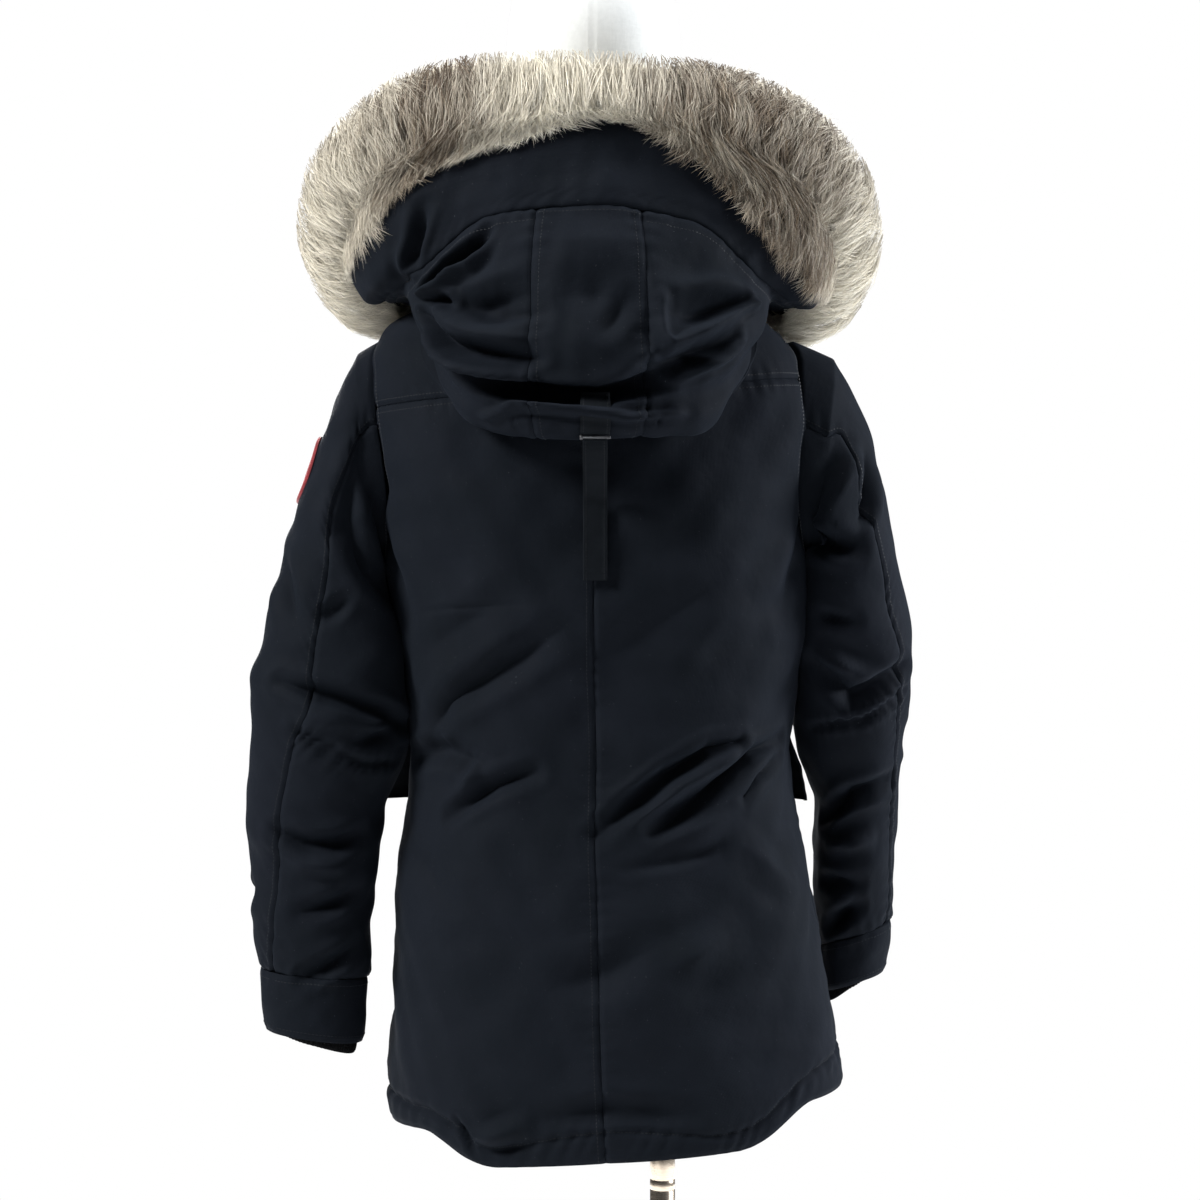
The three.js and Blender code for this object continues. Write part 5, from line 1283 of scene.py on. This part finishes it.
def bar_piece(centre):
    rings, around = [], np.linspace(0, 2 * math.pi, 20, endpoint=False)
    half = BAR_LENGTH / 2
    knob = 1.9
    profile = [(-half, 0.1), (-half, 0.9), (-half + 0.5, BAR_RADIUS), (half - 2.6, BAR_RADIUS), (half - 2.4, knob),
               (half - 1.9, knob + 0.3), (half - 0.4, knob + 0.3), (half, knob - 0.2), (half, 0.1)]
    for x, radius in profile:
        rings.append(vector(centre[0] + x, centre[1] + radius * np.cos(around), centre[2] + radius * np.sin(around)))
    points = np.stack(rings, 1)
    normals = points - np.array([centre[0], centre[1], centre[2]])
    quads = facing(points, grid_faces(*points.shape[:2], True), normals)
    settle(mesh_object("strap_bar", points, quads, BAR), "bar", "strap_bar")


# A plain round patch with a raised edge
def patch_piece(sleeve):
    radii = np.concatenate([np.linspace(0.04, 0.86, 9), np.linspace(0.89, 1, 6)])
    turns = np.linspace(0, 2 * math.pi, 72, endpoint=False)
    r, turn = np.meshgrid(radii, turns)
    t = PATCH_CENTRE_T + PATCH_HALF_T * r * np.sin(turn)
    angle = PATCH_ANGLE + PATCH_HALF_ANGLE * r * np.cos(turn)
    share = (sleeve.row(t, "seam") - angle) / 360
    plain, outward = sleeve.surface.at(share, t), sleeve.surface.normal(share, t)
    height = 1.7 + 0.8 * np.exp(-(((r - 0.93) / 0.05) ** 2)) - 1.6 * share_of(r, 0.975, 1)
    points = plain + outward * height[..., None]
    quads = facing(points, grid_faces(*points.shape[:2], True), outward)
    flat = np.stack([30 * r * np.cos(turn), 30 * r * np.sin(turn)], -1)
    piece = settle(mesh_object("sleeve_patch", points, quads, PATCH, flat), "patch", "sleeve_patch")


tab_cloth, bar_centre = strap_pieces()
tail_cloth = tail_piece(bar_centre)
bar_piece(bar_centre)
patch_piece(sleeves[0])


# Topstitching

def both_rows(cloth, edge, distance=6.0, second=None):
    rows = [cloth.line(edge, distance)]
    if second:
        rows.append(cloth.line(edge, second))
    return rows


# The stitch line along the hem's channel
def channel_line(cloth):
    return cloth.line_through(cloth.us, channel_row(half_turn(cloth.us), "level"))


# A ring of stitches on the body round an armhole
def armhole_line(side, away=7.0):
    angles = np.linspace(0, 360, 240)
    share = 1 + away / ARM_RING_MM
    y = ARMHOLE_Y + ARMHOLE_HALF_DEPTH * share * signed_power(sin_of(angles), 2 / ARMHOLE_POWER)
    z = ARMHOLE_Z + ARMHOLE_HALF_HEIGHT * share * signed_power(cos_of(angles), 2 / ARMHOLE_POWER)
    half, back, front, power, centre = torso_row(z, "half", "back", "front", "power", "centre")
    reach = half * (1 - np.abs(y / np.where(y > 0, back, front)) ** power) ** (1 / power)
    p = vector(centre + side * reach, y, z)
    outward = unit(vector(side * np.ones(len(y)), y / 120, 0.12 * np.ones(len(y))))
    height = BODY_WAVES[0] * ripple(p, 95, 11) + BODY_WAVES[1] * ripple(p, 38, 12) - 0.9
    return p + outward * height[:, None], outward


body_lines = both_rows(back_left, "u0") + both_rows(back_left, "v1") + both_rows(back_right, "v1")
body_lines += both_rows(back_yoke, "v0", 5) + [armhole_line(1), armhole_line(-1)]
body_lines += [channel_line(cloth) for cloth in (back_left, back_right, front_left, front_right)]
stitches("stitches_body", body_lines, THREAD)
stitches("stitches_placket", [placket_cloth.line("u0", 5), placket_cloth.line("u1", 5)], THREAD)
stitches("stitches_hood", both_rows(hood_left, "v0", 10) + both_rows(hood_right, "v0", 10)
         + both_rows(hood_centre, "u0", 7) + both_rows(hood_centre, "u1", 7) + both_rows(hood_centre, "v0", 4), THREAD)
for sleeve in sleeves:
    outer, cuff = sleeve_cloths["outer_" + sleeve.name], sleeve_cloths["cuff_" + sleeve.name]
    stitches("stitches_sleeve_" + sleeve.name, both_rows(outer, "u0", 5) + both_rows(outer, "u1", 5)
             + both_rows(cuff, "v0", 6) + both_rows(cuff, "v1", 6), THREAD)
for name in ("left", "right"):
    rows = [pockets[name].line(edge, 5) for edge in ("u0", "u1", "v0")]
    stitches("stitches_pocket_" + name, rows + [flaps[name].line(e, 5) for e in ("u0", "u1", "v0")], THREAD)
stitches("stitches_strap", [tail_cloth.line("u0", 2.5), tail_cloth.line("u1", 2.5), tab_cloth.line("u0", 2.5),
                            tab_cloth.line("u1", 2.5)], THREAD, pitch=2.6, half_length=0.9)


# Fur: a soft undercoat, and guard hairs as thin tapered blades in tufts

fur_dark, fur_cover = Table(FUR_TONES), Table(FUR_COVER)
PALE = np.array([0.93, 0.92, 0.87])
CREAM = np.array([0.72, 0.68, 0.58])
TAN = np.array([0.36, 0.29, 0.2])
BROWN = np.array([0.08, 0.056, 0.037])


def undercoat_piece():
    places = np.linspace(-0.985, 0.985, 180)
    angles = np.linspace(0, 360, 36, endpoint=False)
    a, s = np.meshgrid(angles, places, indexing="ij")
    ends = np.sqrt(np.clip(1 - (np.abs(s) / 1.0) ** 12, 0.02, 1))
    p = ruff_point(s, a, 0, 0.6 * ends)
    p = rest_on_torso(p, RUFF_CLEARANCE + 8) + 1.5 * ripple(p, 16, 61)[..., None] * unit(p - ruff_core(s)[0])
    normals = p - ruff_core(s)[0]
    quads = facing(p, grid_faces(*p.shape[:2], True), normals)
    piece = settle(mesh_object("fur_undercoat", p, quads, UNDERCOAT), "fur", "fur_ruff")


# Random tufts on a grid of cells over the ruff: how each leans, how long and how dark it is
class Tufts:
    def __init__(self, seed, along, around):
        self.along, self.around = along, around
        rng = np.random.default_rng(seed)
        shape = (along, around)
        self.s = rng.uniform(0.15, 0.85, shape)
        self.a = rng.uniform(0.15, 0.85, shape)
        self.lean_s = rng.normal(0, 1, shape)
        self.lean_a = rng.normal(0, 1, shape)
        self.long = rng.normal(0, 1, shape)
        self.luck = rng.uniform(0, 1, shape)
        self.pull = rng.uniform(0.35, 0.85, shape)

    def find(self, s, a):
        cell_s = np.clip(((s + 1) / 2 * self.along).astype(int), 0, self.along - 1)
        cell_a = ((a % 360) / 360 * self.around).astype(int) % self.around
        centre_s = (cell_s + self.s[cell_s, cell_a]) / self.along * 2 - 1
        centre_a = (cell_a + self.a[cell_s, cell_a]) / self.around * 360
        return cell_s, cell_a, centre_s, centre_a


tufts = Tufts(71, 110, 28)
HAIRS = 120000
FUR_PARTING = 78
DARK_TURN, DARK_SPREAD = 30, 38
FUR_PIECES = 5
FALL_TURN, FALL_THIN, FALL_THICK = 70, 4, 14


def hair_points(s, a, rng):
    i, j, centre_s, centre_a = tufts.find(s, a)
    count = len(s)
    attach = ruff_row(np.abs(s), "attach")
    turned = ((a - attach + 180) % 360) - 180
    parting = FUR_PARTING + 12 * tufts.lean_a[i, j]
    falling = (turned > -10) & (turned < parting)
    comb = np.where(falling, -16 * (1 - np.clip(turned / parting, 0, 1)) - 3, np.where(turned < 0, -14, 14))
    pull = tufts.pull[i, j] * 0.6
    tip_s = s + (centre_s - s) * pull + 0.02 * tufts.lean_s[i, j] + rng.normal(0, 0.008, count)
    tip_a = a + (((centre_a - a + 180) % 360) - 180) * pull
    tip_a += comb + 12 * tufts.lean_a[i, j] + rng.normal(0, 7, count)
    reach = 0.95 + 0.055 * tufts.long[i, j] + rng.normal(0, 0.045, count)
    reach = np.where(rng.uniform(0, 1, count) < 0.04, reach + 0.12, reach)
    rounding = np.sqrt(np.clip(1 - np.abs(s) ** 14, 0.05, 1))
    reach = np.clip(reach, 0.72, 1.16) * rounding
    tip_s = np.clip(tip_s, -1, 1)
    root = ruff_point(s, a, 0, 0.5 * rounding)
    middle = ruff_point(s + (tip_s - s) * 0.4, a + (tip_a - a) * 0.35, 0, 0.5 * rounding + 0.6 * (reach - 0.5))
    tip = ruff_point(tip_s, tip_a, 0, reach)
    tip[:, 2] -= rng.uniform(0, 5, count)
    return root, middle, tip, tufts.luck[i, j], np.exp(-(((turned - DARK_TURN) / DARK_SPREAD) ** 2))


def blend(a, b, share):
    return a + (b - a) * np.clip(share, 0, 1)[:, None]


# The colour of each hair at its root, middle and tip: dark below and pale at the end
def hair_colours(s, luck, facing_back, rng):
    count = len(s)
    dark = fur_dark(s, "dark") * (0.55 + 0.75 * luck) * (0.3 + 0.9 * facing_back)
    strand = rng.uniform(0, 1, count)
    root = blend(CREAM * 0.7, BROWN, 0.35 + 0.65 * dark)
    middle = blend(CREAM, BROWN * 1.3, dark * (0.5 + 0.6 * strand))
    pale = blend(PALE, CREAM, strand)
    tip = np.where((strand < dark * 0.45)[:, None], BROWN * 1.6, blend(pale, TAN * 1.2, dark * 0.8))
    jitter = rng.normal(1, 0.09, count)[:, None]
    return [np.clip(c * jitter, 0.01, 0.9) for c in (root, middle, tip)]


# Blades of three faces from roots, middles and tips, with their colours
def blades(name, root, middle, tip, outward, colours, rng):
    count = len(root)
    aside = unit(np.cross(tip - root, outward))
    spin = rng.normal(0, 0.7, count)[:, None]
    aside = unit(aside * np.cos(spin) + unit(np.cross(tip - root, aside)) * np.sin(spin))
    width = rng.uniform(0.18, 0.42, count)[:, None]
    points = np.stack([root - aside * width, root + aside * width, middle + aside * width * 0.8,
                       middle - aside * width * 0.8, tip], 1)
    first = np.arange(count)[:, None] * 5
    piece = mesh_object(name, points, first + np.array([0, 1, 2, 3]), FUR,
                        triangles=first + np.array([3, 2, 4]))
    shades = np.stack([colours[0], colours[0], colours[1], colours[1], colours[2]], 1).reshape(-1, 3)
    shades = np.concatenate([shades, np.ones((len(shades), 1))], 1).astype(np.float32)
    tone = piece.data.color_attributes.new(name="tone", type="FLOAT_COLOR", domain="POINT")
    tone.data.foreach_set("color", shades.ravel())
    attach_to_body(piece, "root")


def fur_piece(name, start, end, count, seed):
    rng = np.random.default_rng(seed)
    s = rng.uniform(start, end, count)
    a = rng.uniform(0, 360, count)
    root, middle, tip, luck, facing_back = hair_points(s, a, rng)
    tip, middle = (rest_on_torso(p, REST_CLEARANCE + PADDED_WALL) for p in (tip, middle))
    blades(name, root, middle, tip, unit(middle - ruff_core(s)[0]), hair_colours(s, luck, facing_back, rng), rng)


# The way that hair falls from the ruff, before 0, and over the brim, from 0 to 1: its places, the direction
# off them and how thick the hair lies
def fall(cloth, s, way, reach):
    s = np.clip(s, -0.97, 0.97)
    on_ruff = ruff_point(s, ruff_row(np.abs(s), "attach") + FALL_TURN * np.maximum(-way, 0), BRIM_CLEARANCE)
    away = unit(on_ruff - ruff_core(s)[0])
    on_brim, normal = cloth.line_through(s, np.maximum(way, 0) * reach)
    share = smooth_step(np.clip(way + 0.5, 0, 1))[:, None]
    thick = FALL_THIN + FALL_THICK * np.exp(-((way / 0.55) ** 2))
    return np.where((way < 0)[:, None], on_ruff, on_brim), unit(away * (1 - share) + normal * share), thick


def fallen_fur(name, cloth, count, seed):
    rng = np.random.default_rng(seed)
    s = rng.uniform(-0.8, 0.8, count)
    reach = fur_cover(s, "reach")
    kept = rng.uniform(0, 2.2, count) < reach + 0.35
    s, reach = s[kept], reach[kept]
    count = len(s)
    start = rng.uniform(-1.1, 0.8, count)
    i, j, centre_s, _ = tufts.find(s, start * 110 + 150)
    long = np.clip((0.75 + 0.12 * tufts.long[i, j] + rng.normal(0, 0.1, count)) * 0.9 / (0.4 + 0.6 * reach), 0.25, 1.3)
    end = np.minimum(start + long, 1.0 + 0.08 * tufts.long[i, j] + rng.normal(0, 0.06, count))
    lean = (centre_s - s) * tufts.pull[i, j] + 0.02 * tufts.lean_s[i, j] + rng.normal(0, 0.011, count)
    depth, placed = rng.uniform(0.15, 1, count) ** 0.7, []
    for share, height in ((0, 0.25), (0.5, 1.1), (1, 1.15)):
        place, direction, thick = fall(cloth, s + lean * share, start + (end - start) * share, reach)
        rise = thick * height * depth + rng.uniform(0, 4, count) * share
        placed.append(place + direction * rise[:, None])
    blades(name, *placed, direction, hair_colours(s, tufts.luck[i, j], np.full(count, 0.8), rng), rng)


undercoat_piece()
fallen_fur("fur_fallen", hood_brim, 50000 // (1), 79)
edges = np.linspace(-0.985, 0.985, FUR_PIECES + 1)
for n in range(FUR_PIECES):
    count = HAIRS // FUR_PIECES // 1
    fur_piece(f"fur_{n + 1}", edges[n], edges[n + 1], count, 80 + n)


# Dress form and stand

form_inset = Table(FORM_INSET)
FORM_SEAMS = 8


def ring_piece(name, rings, material, slot, node, uv_round=400):
    points = np.stack(rings, 1)
    inner = points.mean(axis=0, keepdims=True)
    quads = facing(points, grid_faces(*points.shape[:2], True), points - inner)
    around = np.arange(points.shape[0]) / points.shape[0] * uv_round
    tall = np.arange(points.shape[1]) * 6.0
    uv = np.stack(np.broadcast_arrays(around[:, None], tall[None]), -1)
    return settle(mesh_object(name, points, quads, material, uv), slot, node)


def seam_groove(angles, count=FORM_SEAMS):
    away = np.abs(((angles * count / 360 + 0.5) % 1) - 0.5) * 360 / count
    return -0.7 * np.exp(-((away / 0.5) ** 2)) + 0.35 * np.exp(-(((away - 1.6) / 0.8) ** 2))


def form_torso_piece():
    angles = np.linspace(0, 360, 144, endpoint=False)
    levels = np.concatenate([np.linspace(750, 1391, 44), np.linspace(1396, COLLAR_TOP, 12)])
    rings = []
    for level in levels:
        at = np.full(angles.shape, float(level))
        inward = -PADDED_WALL - form_inset(level, "inset") - 0.4 + seam_groove(angles)
        rings.append(plain_torso(angles, at) + plain_body.normal(angles, at) * np.reshape(inward, (-1, 1)))
    foot, neck = rings[0], rings[-1]
    low = [foot * np.array([share, share, 0]) + np.array([0, 0, FORM_BOTTOM + up]) for share, up in
           ((0.02, 0.2), (0.9, 0.2), (0.94, 0.6), (0.975, 3), (0.995, 7), (1, 12))]
    centre = np.array([HEAD_CENTRE[0], 0, 0])
    high = []
    for t in np.linspace(0.15, 1, 8):
        share = 1 - 0.04 * t
        ring = (neck - centre) * np.array([share, share, 0]) + centre
        high.append(ring + np.array([0, 0, 1]) * (neck[:, 2:] * (1 - t) + NECK_TOP * t))
    top = high[-1] * np.array([0.02, 0.02, 1]) + centre
    rings = low + rings + high + [top]
    ring_piece("form_torso", rings, LINEN, "linen", "form_torso")


def form_head_piece():
    angles = np.linspace(0, 360, 176, endpoint=False)
    foot = (NECK_TOP + GAP - HEAD_CENTRE[2]) / HEAD_HALF[2]
    rings = []
    for share in np.concatenate([[foot], foot + (0.975 - foot) * smooth_step(np.linspace(0, 1, 44))[1:-1],
                                 [0.98, 0.99, 0.996, 0.999]]):
        width = math.sqrt(1 - share * share) * (1 - 0.06 * share)
        swell = (1 + seam_groove(angles) / 90) * width
        rings.append(vector(
            HEAD_CENTRE[0] + HEAD_HALF[0] * swell * sin_of(angles),
            HEAD_CENTRE[1] + HEAD_HALF[1] * swell * cos_of(angles) * (0.96 + 0.04 * share),
            np.full(angles.shape, HEAD_CENTRE[2] + HEAD_HALF[2] * min(share, 0.975 + (share - 0.975) * 0.2)),
        ))
    rings.append(rings[-1] * np.array([0.02, 0.02, 1]) + np.array([HEAD_CENTRE[0], HEAD_CENTRE[1], 0]) * 0.98)
    bottom = rings[0] * np.array([0.02, 0.02, 1]) + np.array([HEAD_CENTRE[0], HEAD_CENTRE[1], 0]) * 0.98
    ring_piece("form_head", [bottom] + rings, LINEN, "linen", "form_head")


def turned_piece(name, profile, node):
    angles = np.linspace(0, 360, 96, endpoint=False)
    rings = [vector(POLE_X + radius * cos_of(angles), POLE_Y + radius * sin_of(angles), np.full(96, float(z)))
             for radius, z in profile]
    ring_piece(name, rings, STEEL, "steel", node, 200)


def stand_pieces():
    foot = PLATE_THICK + GAP
    top = FORM_BOTTOM - GAP
    pole = [(0.2, foot), (POLE_RADIUS - 0.6, foot), (POLE_RADIUS, foot + 0.6)]
    for z in (602, 611, 640):
        pole += [(POLE_RADIUS, z - 1), (POLE_RADIUS - 0.5, z - 0.4), (POLE_RADIUS - 0.5, z + 0.4), (POLE_RADIUS, z + 1)]
    pole += [(POLE_RADIUS, top - 0.6), (POLE_RADIUS - 0.6, top), (0.2, top)]
    turned_piece("stand_pole", pole, "stand_pole")
    edge = PLATE_RADIUS
    turned_piece("stand_base", [(0.5, 0), (edge - 0.5, 0), (edge, 0.5), (edge, 4), (edge - 0.6, 5.2), (edge - 2, 5.8),
                                (edge - 3, 6), (edge - 20, 6), (60, 6), (0.5, 6)], "stand_base")
    inner = POLE_RADIUS + GAP
    turned_piece("stand_hub", [(inner, foot), (HUB_RADIUS - 0.4, foot), (HUB_RADIUS, foot + 0.4),
                               (HUB_RADIUS, foot + HUB_HEIGHT - 2.4), (HUB_RADIUS - 0.6, foot + HUB_HEIGHT - 1),
                               (HUB_RADIUS - 2, foot + HUB_HEIGHT), (inner, foot + HUB_HEIGHT), (inner, foot)],
                 "stand_hub")


form_torso_piece()
form_head_piece()
stand_pieces()


# Floor, light and camera

def floor_material():
    n = Nodes("studio_floor")
    tone = n.ramp(n.noise(3, 2), [(0.3, rgba(0.84, 0.84, 0.84)), (0.7, rgba(0.87, 0.87, 0.87))])
    return n.set(Roughness=0.9).done(tone)


def area_light(name, place, aim, size, power, colour=(1, 1, 1)):
    light = bpy.data.lights.new(name, "AREA")
    light.energy, light.size, light.color = power, size, colour
    made = bpy.data.objects.new(name, light)
    made.location = place
    direction = np.array(aim) - np.array(place)
    flat = math.hypot(direction[0], direction[1])
    made.rotation_euler = (math.atan2(flat, -direction[2]), 0, math.atan2(direction[1], direction[0]) - math.pi / 2)
    bpy.context.scene.collection.objects.link(made)


# A white room that the camera sees at full strength, and that lights the part more softly
def world_light(tree):
    shader = tree.nodes["Background"]
    shader.inputs["Color"].default_value = rgba(1, 1, 1)
    path = tree.nodes.new("ShaderNodeLightPath")
    strength = tree.nodes.new("ShaderNodeMapRange")
    strength.inputs["To Min"].default_value = ROOM_LIGHT
    tree.links.new(path.outputs["Is Camera Ray"], strength.inputs["Value"])
    tree.links.new(strength.outputs["Result"], shader.inputs["Strength"])


def studio():
    side = 2200
    corners = np.array([(-side, -side, 0), (side, -side, 0), (side, side, 0), (-side, side, 0)], float)
    floor = mesh_object("studio_floor", corners, [[0, 1, 2, 3]], floor_material())
    world = bpy.data.worlds.new("studio")
    bpy.context.scene.world = world
    world.use_nodes = True
    world_light(world.node_tree)
    area_light("key", (3.1, 1.5, 3.4), (0, 0, 1.15), 1.0, 350, (1, 0.99, 0.97))
    area_light("top", (-0.4, 0.5, 3.9), (0, 0, 1.2), 1.2, 90)
    area_light("side", (-3.0, -0.15, 2.0), (0, 0, 1.2), 1.2, 210, (0.95, 0.97, 1))
    area_light("front", (0.6, -3.0, 2.7), (0, 0, 1.1), 2.2, 230)
    camera = bpy.data.cameras.new("camera")
    camera.lens, camera.sensor_width = LENS, SENSOR
    made = bpy.data.objects.new("camera", camera)
    made.location = (np.array([0, CAMERA_BACK, CAMERA_HEIGHT]) - BASE_CENTRE) * MM
    made.rotation_euler = (math.pi / 2, 0, math.pi)
    bpy.context.scene.collection.objects.link(made)
    bpy.context.scene.camera = made
    bpy.context.scene.view_settings.view_transform = "Standard"


studio()
